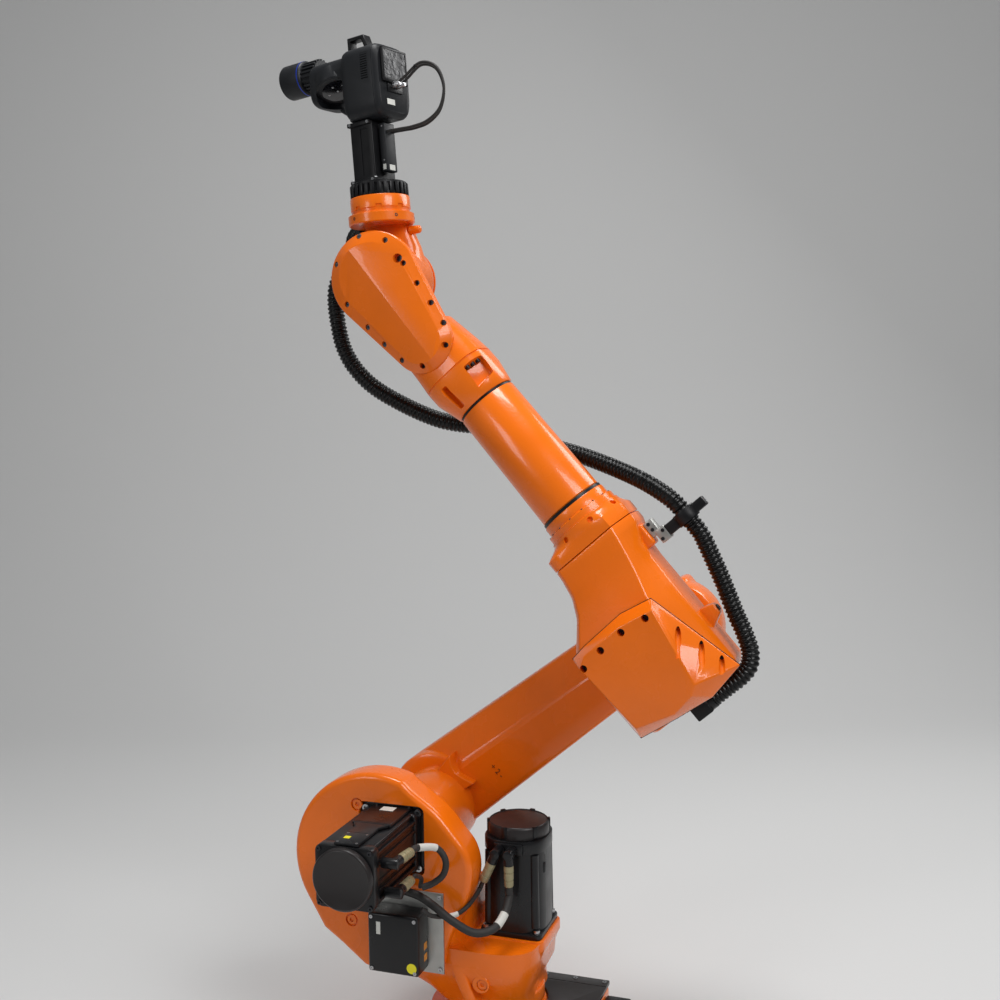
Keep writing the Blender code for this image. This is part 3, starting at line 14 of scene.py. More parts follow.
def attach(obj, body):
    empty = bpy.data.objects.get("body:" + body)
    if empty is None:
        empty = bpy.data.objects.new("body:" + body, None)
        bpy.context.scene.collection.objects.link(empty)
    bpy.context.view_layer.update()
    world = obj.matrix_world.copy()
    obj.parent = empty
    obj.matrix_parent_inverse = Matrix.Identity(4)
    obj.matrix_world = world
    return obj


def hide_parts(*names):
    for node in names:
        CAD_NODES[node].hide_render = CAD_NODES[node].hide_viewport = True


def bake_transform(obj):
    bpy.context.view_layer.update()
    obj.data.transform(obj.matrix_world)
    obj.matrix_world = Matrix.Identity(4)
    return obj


bl_info = {
    "name": "Industrial robot arm",
    "version": (1, 0, 0),
    "blender": (4, 5, 0),
    "location": "View3D > Sidebar > Robot arm",
    "description": "Builds a six-axis robot arm with its hose, motors and camera head",
    "category": "Object",
}

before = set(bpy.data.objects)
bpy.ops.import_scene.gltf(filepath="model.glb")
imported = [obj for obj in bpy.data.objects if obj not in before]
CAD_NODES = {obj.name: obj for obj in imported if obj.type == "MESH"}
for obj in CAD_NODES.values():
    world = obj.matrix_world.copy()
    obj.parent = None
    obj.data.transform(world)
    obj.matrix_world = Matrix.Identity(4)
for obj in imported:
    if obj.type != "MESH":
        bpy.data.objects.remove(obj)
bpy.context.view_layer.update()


def frame_at(origin, pitch):
    """A frame whose X axis is raised by pitch degrees."""
    matrix = Matrix.Rotation(-math.radians(pitch), 4, "Y")
    matrix.translation = Vector(origin)
    return matrix


LINK_LENGTH = 0.610
ROW = Matrix.Identity(4)
LINK = frame_at((0.150, 0.0, 0.435), 52.3)
FORE = frame_at(LINK @ Vector((0.0, 0.0, LINK_LENGTH)), 49.3)
FORE = FORE @ Matrix.Translation((0.0, 0.0, 0.030))
HAND = frame_at(FORE @ Vector((0.855, 0.0, 0.0)), 86.0)
TOOL = HAND @ Matrix.Translation((0.153, 0.0, 0.0)) @ Matrix.Rotation(math.radians(-15.0), 4, "X")
ORIGIN = (0, 0, 0)
PLUS_X = (1, 0, 0)
MINUS_X = (-1, 0, 0)
PLUS_Y = (0, 1, 0)
MINUS_Y = (0, -1, 0)
PLUS_Z = (0, 0, 1)
MINUS_Z = (0, 0, -1)
CORNER_SIGNS = ((1, 1), (-1, 1), (-1, -1), (1, -1))
# sides of a plain round piece, and of a large one
FINE = 72
ROUND = 96
MERGE = 1e-6


# sizes a user may change
class ArmSizes(bpy.types.PropertyGroup):
    edge: bpy.props.FloatProperty(
        name="Foot edge", description="Rounding of the foot plate's edges", default=0.004,
        min=0.0005, max=0.01, unit="LENGTH")
    screw: bpy.props.FloatProperty(
        name="Lid screw", description="Head radius of the screws in the link's lids", default=0.0046,
        min=0.002, max=0.01, unit="LENGTH")
    hose_pitch: bpy.props.FloatProperty(
        name="Hose pitch", description="Distance between two ribs of the hose", default=0.0082,
        min=0.003, max=0.02, unit="LENGTH")
    hose_radius: bpy.props.FloatProperty(
        name="Hose radius", description="Outer radius of the hose", default=0.0165,
        min=0.008, max=0.03, unit="LENGTH")
    hose_groove: bpy.props.FloatProperty(
        name="Hose groove", description="Depth of the hose's grooves", default=0.0024,
        min=0.0005, max=0.005, unit="LENGTH")


class ArmColours(bpy.types.PropertyGroup):
    paint: bpy.props.FloatVectorProperty(
        name="Paint", description="Colour of the castings", default=(0.88, 0.165, 0.003),
        size=3, min=0.0, max=1.0, subtype="COLOR")
    motor: bpy.props.FloatVectorProperty(
        name="Motor paint", description="Colour of the motors", default=(0.006, 0.006, 0.007),
        size=3, min=0.0, max=1.0, subtype="COLOR")
    plug: bpy.props.FloatVectorProperty(
        name="Plugs", description="Colour of the round plugs", default=(0.33, 0.29, 0.17),
        size=3, min=0.0, max=1.0, subtype="COLOR")
    backdrop: bpy.props.FloatVectorProperty(
        name="Floor", description="Colour of the floor and backdrop", default=(0.64, 0.64, 0.635),
        size=3, min=0.0, max=1.0, subtype="COLOR")


def sizes():
    return bpy.context.scene.arm_sizes


def colours():
    return bpy.context.scene.arm_colours


# finishes
def new_material(name, colour, roughness, metallic=0.0, coat=0.0, shine=0.35):
    """A Principled material, or the one that already has this name."""
    found = bpy.data.materials.get(name)
    if found:
        return found
    material = bpy.data.materials.new(name)
    material.use_nodes = True
    shader = material.node_tree.nodes["Principled BSDF"]
    shader.inputs["Base Color"].default_value = (*colour, 1.0)
    shader.inputs["Roughness"].default_value = roughness
    shader.inputs["Metallic"].default_value = metallic
    shader.inputs["Specular IOR Level"].default_value = shine
    shader.inputs["Coat Weight"].default_value = coat
    shader.inputs["Coat Roughness"].default_value = 0.05
    material.diffuse_color = (*colour, 1.0)
    return material


def noise(tree, scale, detail=3.0):
    """A noise texture on object coordinates."""
    coords = tree.nodes.new("ShaderNodeTexCoord")
    texture = tree.nodes.new("ShaderNodeTexNoise")
    texture.inputs["Scale"].default_value = scale
    texture.inputs["Detail"].default_value = detail
    tree.links.new(coords.outputs["Object"], texture.inputs["Vector"])
    return texture.outputs["Fac"]


def ramp(tree, source, low, high, start=0.35, end=0.65):
    """A two-colour ramp between low and high."""
    node = tree.nodes.new("ShaderNodeValToRGB")
    node.color_ramp.elements[0].position = start
    node.color_ramp.elements[1].position = end
    node.color_ramp.elements[0].color = (*low, 1.0)
    node.color_ramp.elements[1].color = (*high, 1.0)
    tree.links.new(source, node.inputs["Fac"])
    return node.outputs["Color"]


def map_range(tree, source, low, high):
    node = tree.nodes.new("ShaderNodeMapRange")
    node.inputs["From Min"].default_value = 0.3
    node.inputs["From Max"].default_value = 0.7
    node.inputs["To Min"].default_value = low
    node.inputs["To Max"].default_value = high
    tree.links.new(source, node.inputs["Value"])
    return node.outputs["Result"]


def rough_surface(material, low, high, scale, bump=0.0, bump_scale=400.0, distance=0.0004):
    """Roughness that varies over the surface, and a fine cast or moulded grain."""
    tree = material.node_tree
    shader = tree.nodes["Principled BSDF"]
    tree.links.new(map_range(tree, noise(tree, scale), low, high), shader.inputs["Roughness"])
    if bump:
        grain = tree.nodes.new("ShaderNodeBump")
        grain.inputs["Strength"].default_value = bump
        grain.inputs["Distance"].default_value = distance
        tree.links.new(noise(tree, bump_scale, 2.0), grain.inputs["Height"])
        tree.links.new(grain.outputs["Normal"], shader.inputs["Normal"])
    return material


def orange_paint():
    base = Vector(colours().paint)
    material = bpy.data.materials.get("orange_paint")
    if material:
        return material
    material = new_material("orange_paint", base, 0.3, 0.0, 0.35, 0.30)
    tree = material.node_tree
    shader = tree.nodes["Principled BSDF"]
    tint = ramp(tree, noise(tree, 9.0, 4.0), tuple(base * 0.92), tuple(base), 0.30, 0.62)
    tree.links.new(tint, shader.inputs["Base Color"])
    return rough_surface(material, 0.20, 0.32, 14.0, 0.30, 230.0, 0.0006)


def motor_paint():
    return rough_surface(
        new_material("motor_paint", colours().motor, 0.34, 0.0, 0.12, 0.3), 0.26, 0.40, 22.0,
        0.10, 500.0)


def cap_plastic():
    return rough_surface(
        new_material("cap_plastic", (0.020, 0.017, 0.017), 0.36), 0.28, 0.40, 30.0, 0.08, 700.0)


def black_plastic():
    return rough_surface(
        new_material("black_plastic", (0.005, 0.005, 0.006), 0.42, shine=0.28), 0.34, 0.48, 40.0,
        0.15, 900.0)


def slate_plastic():
    return rough_surface(
        new_material("slate_plastic", (0.009, 0.010, 0.012), 0.46, shine=0.30), 0.40, 0.54, 40.0,
        0.2, 1200.0)


def hose_plastic():
    return rough_surface(
        new_material("hose_plastic", (0.003, 0.003, 0.003), 0.30, shine=0.30), 0.22, 0.34, 60.0)


def lead_rubber():
    return rough_surface(
        new_material("lead_rubber", (0.028, 0.026, 0.025), 0.55), 0.5, 0.66, 300.0, 0.3, 1500.0)


def plug_metal():
    return rough_surface(
        new_material("plug_metal", colours().plug, 0.42, 0.35), 0.34, 0.52, 90.0)


def steel():
    return rough_surface(new_material("zinc_steel", (0.46, 0.46, 0.47), 0.3, 1.0), 0.22, 0.40, 160.0)


def dark_steel():
    return rough_surface(new_material("dark_steel", (0.05, 0.05, 0.055), 0.34, 0.9), 0.28, 0.42, 160.0)


def aluminium():
    return rough_surface(
        new_material("plate_aluminium", (0.42, 0.42, 0.40), 0.42, 0.85), 0.34, 0.5, 60.0, 0.05, 500.0)


def lens_glass():
    return new_material("lens_glass", (0.003, 0.003, 0.005), 0.06, 0.0, 1.0)


def blue_ring():
    return new_material("blue_ring", (0.012, 0.045, 0.42), 0.3, 0.2)


def crinkled_sheet():
    return rough_surface(
        new_material("crinkled_sheet", (0.018, 0.018, 0.020), 0.28), 0.2, 0.5, 90.0, 0.9, 60.0, 0.003)


def sticker(name, colour):
    return new_material(name, colour, 0.45)


def white_tag():
    return sticker("tag_white", (0.62, 0.62, 0.58))


def yellow_tag():
    return sticker("tag_yellow", (0.80, 0.72, 0.02))


def orange_tag():
    return sticker("tag_orange", (0.62, 0.24, 0.03))


def brown_mark():
    return sticker("mark_brown", (0.16, 0.028, 0.006))


# meshes
def link_object(name, data):
    made = bpy.data.objects.new(name, data)
    bpy.context.scene.collection.objects.link(made)
    return made


def object_from(name, bm, matrix=ROW, recalc=True):
    """An object at the origin whose mesh is bm, moved from the local frame to the row frame."""
    bmesh.ops.transform(bm, matrix=matrix, verts=bm.verts)
    if recalc:
        bmesh.ops.recalc_face_normals(bm, faces=bm.faces)
    mesh = bpy.data.meshes.new(name)
    bm.to_mesh(mesh)
    bm.free()
    return link_object(name, mesh)


def loft(bm, rings):
    """Faces over rings of equally many points and on the first one; gives the last ring."""
    loops = [[bm.verts.new(point) for point in ring] for ring in rings]
    count = len(rings[0])
    for near, far in zip(loops, loops[1:]):
        for i in range(count):
            j = (i + 1) % count
            bm.faces.new((near[i], near[j], far[j], far[i]))
    bm.faces.new(loops[0])
    return loops[-1]


def skin(name, rings, matrix=ROW):
    """Skin over rings of equally many points, closed at both ends."""
    bm = bmesh.new()
    bm.faces.new(loft(bm, rings))
    return object_from(name, bm, matrix)


def box(name, low, high, matrix=ROW):
    bm = bmesh.new()
    bmesh.ops.create_cube(bm, size=1.0)
    low = Vector(low)
    high = Vector(high)
    bmesh.ops.scale(bm, vec=high - low, verts=bm.verts)
    bmesh.ops.translate(bm, vec=(low + high) / 2.0, verts=bm.verts)
    return object_from(name, bm, matrix)


def along(start, direction):
    """A frame at start whose Z axis points along direction."""
    turn = Vector(direction).to_track_quat("Z", "Y").to_matrix().to_4x4()
    turn.translation = Vector(start)
    return turn


def rod(name, start, end, radius, end_radius=None, matrix=ROW, sides=FINE):
    bm = bmesh.new()
    path = Vector(end) - Vector(start)
    bmesh.ops.create_cone(
        bm, cap_ends=True, segments=sides, radius1=radius,
        radius2=radius if end_radius is None else end_radius, depth=path.length)
    middle = (Vector(start) + Vector(end)) / 2.0
    return object_from(name, bm, matrix @ along(middle, path))


def turned(name, profile, start, direction, matrix=ROW, sides=FINE):
    """A turned solid from a profile of radius and height along direction."""
    rings = []
    for radius, height in profile:
        radius = max(radius, 0.00005)
        rings.append([(radius * c, radius * s, height) for c, s in spokes(sides)])
    return skin(name, rings, matrix @ along(start, direction))


def hollow(inner, outer, low, high):
    """The profile of a ring with a bore."""
    return [(inner, low), (outer, low), (outer, high), (inner, high)]


def plate(name, outline, low, high, matrix=ROW):
    """An outline in X and Z, from y low to y high."""
    return skin(name, [[(x, y, z) for x, z in outline] for y in (low, high)], matrix)


def spokes(count, start=0.0):
    """Cosine and sine of evenly spread angles, the first at start degrees."""
    angles = [math.radians(start + 360.0 * i / count) for i in range(count)]
    return [(math.cos(angle), math.sin(angle)) for angle in angles]


def arc(centre_x, centre_z, radius, start, end, count):
    points = []
    for i in range(count):
        angle = math.radians(start + (end - start) * i / (count - 1))
        points.append((centre_x + radius * math.cos(angle), centre_z + radius * math.sin(angle)))
    return points


def stadium(x_a, radius_a, x_b, radius_b, centre_z=0.0, shift_b=0.0, count=25):
    """Outline of two circles and their outer tangents, the first at +X."""
    distance = math.hypot(x_a - x_b, shift_b)
    heading = math.degrees(math.atan2(-shift_b, x_a - x_b))
    opening = math.degrees(math.acos((radius_b - radius_a) / distance))
    first = arc(x_a, centre_z, radius_a, heading - opening, heading + opening, count)
    second = arc(x_b, centre_z + shift_b, radius_b, heading + opening,
                 heading + 360.0 - opening, count)
    return first + second


def rounded(half_x, half_z, corner, count=9, centre_x=0.0, centre_z=0.0):
    points = []
    for sign_x, sign_z, start in ((1, 1, 0), (-1, 1, 90), (-1, -1, 180), (1, -1, 270)):
        points += arc(centre_x + sign_x * (half_x - corner), centre_z + sign_z * (half_z - corner),
                      corner, start, start + 90, count)
    return points


def superellipse(half_x, half_y, power, count=FINE):
    ring = []
    for i in range(count):
        angle = 2.0 * math.pi * (i + 0.5) / count
        c = math.cos(angle)
        s = math.sin(angle)
        ring.append((math.copysign(abs(c) ** (2.0 / power), c) * half_x,
                     math.copysign(abs(s) ** (2.0 / power), s) * half_y))
    return ring


def smooth_route(points, steps=10):
    """Points on one Catmull-Rom curve through the route's own points."""
    path = [Vector(point) for point in points]
    ends = [2.0 * path[0] - path[1]] + path + [2.0 * path[-1] - path[-2]]
    result = []
    for a, b, c, d in zip(ends, ends[1:], ends[2:], ends[3:]):
        for k in range(steps):
            t = k / steps
            result.append(0.5 * (
                2.0 * b + (c - a) * t + (2.0 * a - 5.0 * b + 4.0 * c - d) * t ** 2
                + (3.0 * b - a - 3.0 * c + d) * t ** 3))
    result.append(path[-1])
    return result


def curve_of(name, points):
    curve = bpy.data.curves.new(name, "CURVE")
    curve.dimensions = "3D"
    spline = curve.splines.new("POLY")
    spline.points.add(len(points) - 1)
    for target, point in zip(spline.points, points):
        target.co = (*point, 1.0)
    return link_object(name, curve)


def tube(name, points, radius, resolution=6):
    """A closed round tube along points."""
    holder = curve_of(name + "_line", points)
    holder.data.bevel_depth = radius
    holder.data.bevel_resolution = resolution
    holder.data.use_fill_caps = True
    mesh = evaluated_mesh(holder, name)
    bpy.data.objects.remove(holder, do_unlink=True)
    bm = bmesh.new()
    bm.from_mesh(mesh)
    bmesh.ops.remove_doubles(bm, verts=bm.verts, dist=MERGE)
    return object_from(name, bm)


def evaluated_mesh(thing, name):
    bpy.context.view_layer.update()
    graph = bpy.context.evaluated_depsgraph_get()
    mesh = bpy.data.meshes.new_from_object(thing.evaluated_get(graph))
    mesh.name = name
    return mesh


def settle(thing):
    """Turns the modifiers' result into the object's own plain mesh."""
    mesh = evaluated_mesh(thing, thing.name)
    thing.modifiers.clear()
    thing.data = mesh
    return thing


def soften(thing, width, segments=3, angle=32.0):
    """Rounds the edges that are sharper than angle."""
    edge = thing.modifiers.new("edges", "BEVEL")
    edge.width = width
    edge.segments = segments
    edge.limit_method = "ANGLE"
    edge.angle_limit = math.radians(angle)
    edge.use_clamp_overlap = True
    return settle(thing)


def block(name, low, high, edge, segments=3, matrix=ROW):
    """A box with rounded edges."""
    return soften(box(name, low, high, matrix), edge, segments)


def combine(thing, others, operation):
    for other in others:
        step = thing.modifiers.new(other.name, "BOOLEAN")
        step.operation = operation
        step.solver = "EXACT"
        step.object = other
    settle(thing)
    for other in others:
        bpy.data.objects.remove(other, do_unlink=True)
    return thing


def fuse(thing, *others):
    return combine(thing, others, "UNION")


def carve(thing, *others):
    return combine(thing, others, "DIFFERENCE")


def merged(name, things):
    """One object of several that stay separate bodies."""
    bm = bmesh.new()
    for thing in things:
        bm.from_mesh(thing.data)
        bpy.data.objects.remove(thing, do_unlink=True)
    return object_from(name, bm, recalc=False)


def copy_of(node, name):
    """A CAD node's own shape, with its loose triangles merged and its flats made whole."""
    bm = bmesh.new()
    bm.from_mesh(CAD_NODES[node].data)
    bmesh.ops.remove_doubles(bm, verts=bm.verts, dist=2e-5)
    bmesh.ops.dissolve_limit(
        bm, angle_limit=math.radians(1.0), verts=bm.verts, edges=bm.edges)
    return object_from(name, bm, recalc=False)


def place(thing, body, material, nodes=(), smooth=38.0):
    """Gives a finished piece its finish, and the CAD body that it rides on."""
    thing.data.materials.clear()
    thing.data.materials.append(material)
    thing.data.polygons.foreach_set("material_index", [0] * len(thing.data.polygons))
    thing.data.shade_smooth()
    thing.data.set_sharp_from_angle(angle=math.radians(smooth))
    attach(thing, body)
    if nodes:
        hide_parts(*nodes)
    return thing


def seal_ring(name, radius, low, high, start, direction, matrix, body, node):
    """A thin black ring that fills the gap between two castings."""
    ring = turned(name, [(0.0, low), (radius, low), (radius, high), (0.0, high)], start, direction,
                  matrix)
    return place(ring, body, black_plastic(), [node])


# geometry nodes
def known_tree(name):
    """A tree that is already built, with its inputs' identifiers."""
    tree = bpy.data.node_groups.get(name)
    if tree is None:
        return None
    return tree, [item.identifier for item in tree.interface.items_tree if item.in_out == "INPUT"]


def tree_input(tree, name, kind, default=None):
    socket = tree.interface.new_socket(name=name, in_out="INPUT", socket_type=kind)
    if default is not None:
        socket.default_value = default
    return socket.identifier


def run_nodes(thing, tree, values):
    """Puts the tree on the object, sets its inputs, and keeps the result as a plain mesh."""
    step = thing.modifiers.new(tree.name, "NODES")
    step.node_group = tree
    for identifier, value in values.items():
        step[identifier] = value
    mesh = evaluated_mesh(thing, thing.name)
    name = thing.name
    bpy.data.objects.remove(thing, do_unlink=True)
    return link_object(name, mesh)


def finish_tree(tree, last, material_socket, group_in):
    """Every tree ends in Realize Instances and Set Material."""
    realize = tree.nodes.new("GeometryNodeRealizeInstances")
    paint = tree.nodes.new("GeometryNodeSetMaterial")
    out = tree.nodes.new("NodeGroupOutput")
    tree.interface.new_socket(name="Geometry", in_out="OUTPUT", socket_type="NodeSocketGeometry")
    tree.links.new(last, realize.inputs["Geometry"])
    tree.links.new(realize.outputs["Geometry"], paint.inputs["Geometry"])
    tree.links.new(group_in.outputs[material_socket], paint.inputs["Material"])
    tree.links.new(paint.outputs["Geometry"], out.inputs[0])


def screw_tree():
    """Socket-head screws on a mesh's points, aligned to the point attribute facing."""
    known = known_tree("screws_on_points")
    if known:
        return known
    tree = bpy.data.node_groups.new("screws_on_points", "GeometryNodeTree")
    keys = [tree_input(tree, "Places", "NodeSocketGeometry"),
            tree_input(tree, "Head radius", "NodeSocketFloat", 0.005),
            tree_input(tree, "Head height", "NodeSocketFloat", 0.004),
            tree_input(tree, "Material", "NodeSocketMaterial")]
    group_in = tree.nodes.new("NodeGroupInput")

    def scaled(socket, factor):
        node = tree.nodes.new("ShaderNodeMath")
        node.operation = "MULTIPLY"
        node.inputs[1].default_value = factor
        tree.links.new(group_in.outputs[socket], node.inputs[0])
        return node.outputs[0]

    head = tree.nodes.new("GeometryNodeMeshCylinder")
    head.inputs["Vertices"].default_value = 20
    tree.links.new(group_in.outputs["Head radius"], head.inputs["Radius"])
    tree.links.new(group_in.outputs["Head height"], head.inputs["Depth"])
    key = tree.nodes.new("GeometryNodeMeshCylinder")
    key.inputs["Vertices"].default_value = 6
    tree.links.new(scaled("Head radius", 0.52), key.inputs["Radius"])
    tree.links.new(group_in.outputs["Head height"], key.inputs["Depth"])
    lift = tree.nodes.new("GeometryNodeTransform")
    up = tree.nodes.new("ShaderNodeCombineXYZ")
    tree.links.new(scaled("Head height", 0.45), up.inputs["Z"])
    tree.links.new(key.outputs["Mesh"], lift.inputs["Geometry"])
    tree.links.new(up.outputs["Vector"], lift.inputs["Translation"])
    cut = tree.nodes.new("GeometryNodeMeshBoolean")
    cut.operation = "DIFFERENCE"
    tree.links.new(head.outputs["Mesh"], cut.inputs["Mesh 1"])
    tree.links.new(lift.outputs["Geometry"], cut.inputs["Mesh 2"])
    facing = tree.nodes.new("GeometryNodeInputNamedAttribute")
    facing.data_type = "FLOAT_VECTOR"
    facing.inputs["Name"].default_value = "facing"
    turn = tree.nodes.new("FunctionNodeAlignRotationToVector")
    turn.axis = "Z"
    tree.links.new(facing.outputs["Attribute"], turn.inputs["Vector"])
    points = tree.nodes.new("GeometryNodeMeshToPoints")
    tree.links.new(group_in.outputs["Places"], points.inputs["Mesh"])
    spread = tree.nodes.new("GeometryNodeInstanceOnPoints")
    tree.links.new(points.outputs["Points"], spread.inputs["Points"])
    tree.links.new(cut.outputs["Mesh"], spread.inputs["Instance"])
    tree.links.new(turn.outputs["Rotation"], spread.inputs["Rotation"])
    finish_tree(tree, spread.outputs["Instances"], "Material", group_in)
    return tree, keys


def screws(name, places, radius, height, material, body, matrix=ROW):
    """Screw heads at places, each a point and the way that it faces, in the local frame."""
    bm = bmesh.new()
    turn = matrix.to_3x3()
    facings = []
    for point, facing in places:
        bm.verts.new(matrix @ Vector(point))
        facings += list((turn @ Vector(facing)).normalized())
    mesh = bpy.data.meshes.new(name)
    bm.to_mesh(mesh)
    bm.free()
    mesh.attributes.new("facing", "FLOAT_VECTOR", "POINT").data.foreach_set("vector", facings)
    tree, keys = screw_tree()
    made = run_nodes(link_object(name, mesh), tree,
                     {keys[1]: radius, keys[2]: height, keys[3]: material})
    place(made, body, material, smooth=30.0)
    return made


# points along one rib of the hose, and the shape of its wave between a sine and a square one
RIB_SAMPLES = 6.0
RIB_ROUNDNESS = 0.45
RIB_FLATNESS = 0.30
RIB_LEVEL = 0.72
GROOVE_SHARE = 0.72
HOSE_SIDES = 24


def hose_tree():
    """A corrugated hose along a curve: its radius rises and falls with the length."""
    known = known_tree("ribbed_hose")
    if known:
        return known
    tree = bpy.data.node_groups.new("ribbed_hose", "GeometryNodeTree")
    keys = [tree_input(tree, "Line", "NodeSocketGeometry"),
            tree_input(tree, "Pitch", "NodeSocketFloat", 0.008),
            tree_input(tree, "Radius", "NodeSocketFloat", 0.016),
            tree_input(tree, "Groove", "NodeSocketFloat", 0.002),
            tree_input(tree, "Material", "NodeSocketMaterial")]
    group_in = tree.nodes.new("NodeGroupInput")

    def math_node(operation, a, b):
        node = tree.nodes.new("ShaderNodeMath")
        node.operation = operation
        for socket, value in zip(node.inputs, (a, b)):
            if isinstance(value, (int, float)):
                socket.default_value = value
            elif value is not None:
                tree.links.new(value, socket)
        return node.outputs[0]

    step = tree.nodes.new("GeometryNodeResampleCurve")
    step.mode = "LENGTH"
    tree.links.new(group_in.outputs["Line"], step.inputs["Curve"])
    tree.links.new(math_node("DIVIDE", group_in.outputs["Pitch"], RIB_SAMPLES), step.inputs["Length"])
    index = tree.nodes.new("GeometryNodeInputIndex")
    wave = math_node("SINE", math_node("MULTIPLY", index.outputs[0], 2.0 * math.pi / RIB_SAMPLES), None)
    square = math_node("SIGN", wave, None)
    crest = math_node("ADD", math_node("MULTIPLY", wave, RIB_ROUNDNESS),
                      math_node("MULTIPLY", square, RIB_FLATNESS))
    depth = math_node("MULTIPLY", math_node("SUBTRACT", RIB_LEVEL, crest),
                      math_node("MULTIPLY", group_in.outputs["Groove"], GROOVE_SHARE))
    width = math_node("SUBTRACT", group_in.outputs["Radius"], depth)
    ring = tree.nodes.new("GeometryNodeCurvePrimitiveCircle")
    ring.inputs["Resolution"].default_value = HOSE_SIDES
    ring.inputs["Radius"].default_value = 1.0
    sweep = tree.nodes.new("GeometryNodeCurveToMesh")
    sweep.inputs["Fill Caps"].default_value = True
    tree.links.new(step.outputs["Curve"], sweep.inputs["Curve"])
    tree.links.new(width, sweep.inputs["Scale"])
    tree.links.new(ring.outputs["Curve"], sweep.inputs["Profile Curve"])
    finish_tree(tree, sweep.outputs["Mesh"], "Material", group_in)
    return tree, keys


def hose_run(name, points):
    """A ribbed hose along points in the row frame, as a plain closed mesh."""
    tree, keys = hose_tree()
    line = curve_of(name, points)
    own = sizes()
    made = run_nodes(line, tree, {
        keys[1]: own.hose_pitch, keys[2]: own.hose_radius, keys[3]: own.hose_groove,
        keys[4]: hose_plastic()})
    bm = bmesh.new()
    bm.from_mesh(made.data)
    bmesh.ops.remove_doubles(bm, verts=bm.verts, dist=MERGE)
    bmesh.ops.recalc_face_normals(bm, faces=bm.faces)
    bm.to_mesh(made.data)
    bm.free()
    made.data.materials.clear()
    made.data.materials.append(hose_plastic())
    made.data.shade_smooth()
    made.data.set_sharp_from_angle(angle=math.radians(50.0))
    return made


def ring_tree():
    """Copies of a small block, each turned one step further than the last."""
    known = known_tree("blocks_in_a_ring")
    if known:
        return known
    tree = bpy.data.node_groups.new("blocks_in_a_ring", "GeometryNodeTree")
    keys = [tree_input(tree, "Block", "NodeSocketGeometry"),
            tree_input(tree, "Count", "NodeSocketInt", 8),
            tree_input(tree, "Turn of one step", "NodeSocketVector", (0.0, 0.0, 0.785)),
            tree_input(tree, "Material", "NodeSocketMaterial")]
    group_in = tree.nodes.new("NodeGroupInput")
    line = tree.nodes.new("GeometryNodeMeshLine")
    line.mode = "OFFSET"
    line.inputs["Offset"].default_value = (0.0, 0.0, 0.0)
    tree.links.new(group_in.outputs["Count"], line.inputs["Count"])
    index = tree.nodes.new("GeometryNodeInputIndex")
    angles = tree.nodes.new("ShaderNodeVectorMath")
    angles.operation = "SCALE"
    tree.links.new(group_in.outputs["Turn of one step"], angles.inputs[0])
    tree.links.new(index.outputs[0], angles.inputs["Scale"])
    turn = tree.nodes.new("FunctionNodeEulerToRotation")
    tree.links.new(angles.outputs["Vector"], turn.inputs["Euler"])
    spread = tree.nodes.new("GeometryNodeInstanceOnPoints")
    tree.links.new(line.outputs["Mesh"], spread.inputs["Points"])
    tree.links.new(group_in.outputs["Block"], spread.inputs["Instance"])
    tree.links.new(turn.outputs["Rotation"], spread.inputs["Rotation"])
    finish_tree(tree, spread.outputs["Instances"], "Material", group_in)
    return tree, keys


def ring_of(thing, count, axis, material, matrix=ROW):
    """The block, repeated count times round the X, Y or Z axis of a local frame."""
    tree, keys = ring_tree()
    step = [2.0 * math.pi / count if letter == axis else 0.0 for letter in "XYZ"]
    made = run_nodes(thing, tree, {keys[1]: count, keys[2]: step, keys[3]: material})
    made.data.transform(matrix)
    return made


def label(name, corners, thickness, material, body, matrix=ROW):
    """A thin bare sticker over four corners."""
    ring = [Vector(corner) for corner in corners]
    normal = (ring[1] - ring[0]).cross(ring[2] - ring[1]).normalized() * thickness
    made = skin(name, [ring, [corner + normal for corner in ring]], matrix)
    return place(made, body, material)


def flat_label(name, low, high, z, thickness, material, body, matrix=ROW):
    """A bare sticker that lies flat at height z, between two corners."""
    corners = [(low[0], low[1], z), (high[0], low[1], z), (high[0], high[1], z), (low[0], high[1], z)]
    return label(name, corners, thickness, material, body, matrix)


def disc_label(name, centre, facing, radius, thickness, material, body, matrix=ROW):
    made = rod(name, centre, Vector(centre) + Vector(facing).normalized() * thickness, radius,
               matrix=matrix, sides=32)
    return place(made, body, material)


def mark(name, text, height, matrix, body, depth=0.0006):
    """A plain axis mark, as thin raised strokes on a frame's X and Y."""
    curve = bpy.data.curves.new(name, "FONT")
    curve.body = text
    curve.size = height
    curve.extrude = depth / 2.0
    curve.align_x = "CENTER"
    curve.align_y = "CENTER"
    holder = link_object(name + "_text", curve)
    mesh = evaluated_mesh(holder, name)
    bpy.data.objects.remove(holder, do_unlink=True)
    bm = bmesh.new()
    bm.from_mesh(mesh)
    bmesh.ops.remove_doubles(bm, verts=bm.verts, dist=MERGE)
    made = object_from(name, bm, matrix)
    return place(made, body, brown_mark())


def screw_holes(places, radius, depth, matrix=ROW, lead=0.03):
    """Cutters for counterbores at places."""
    cutters = []
    for i, (point, facing) in enumerate(places):
        facing = Vector(facing).normalized()
        cutters.append(rod(f"hole_{i}", Vector(point) - facing * depth,
                           Vector(point) + facing * lead, radius, matrix=matrix, sides=24))
    return cutters


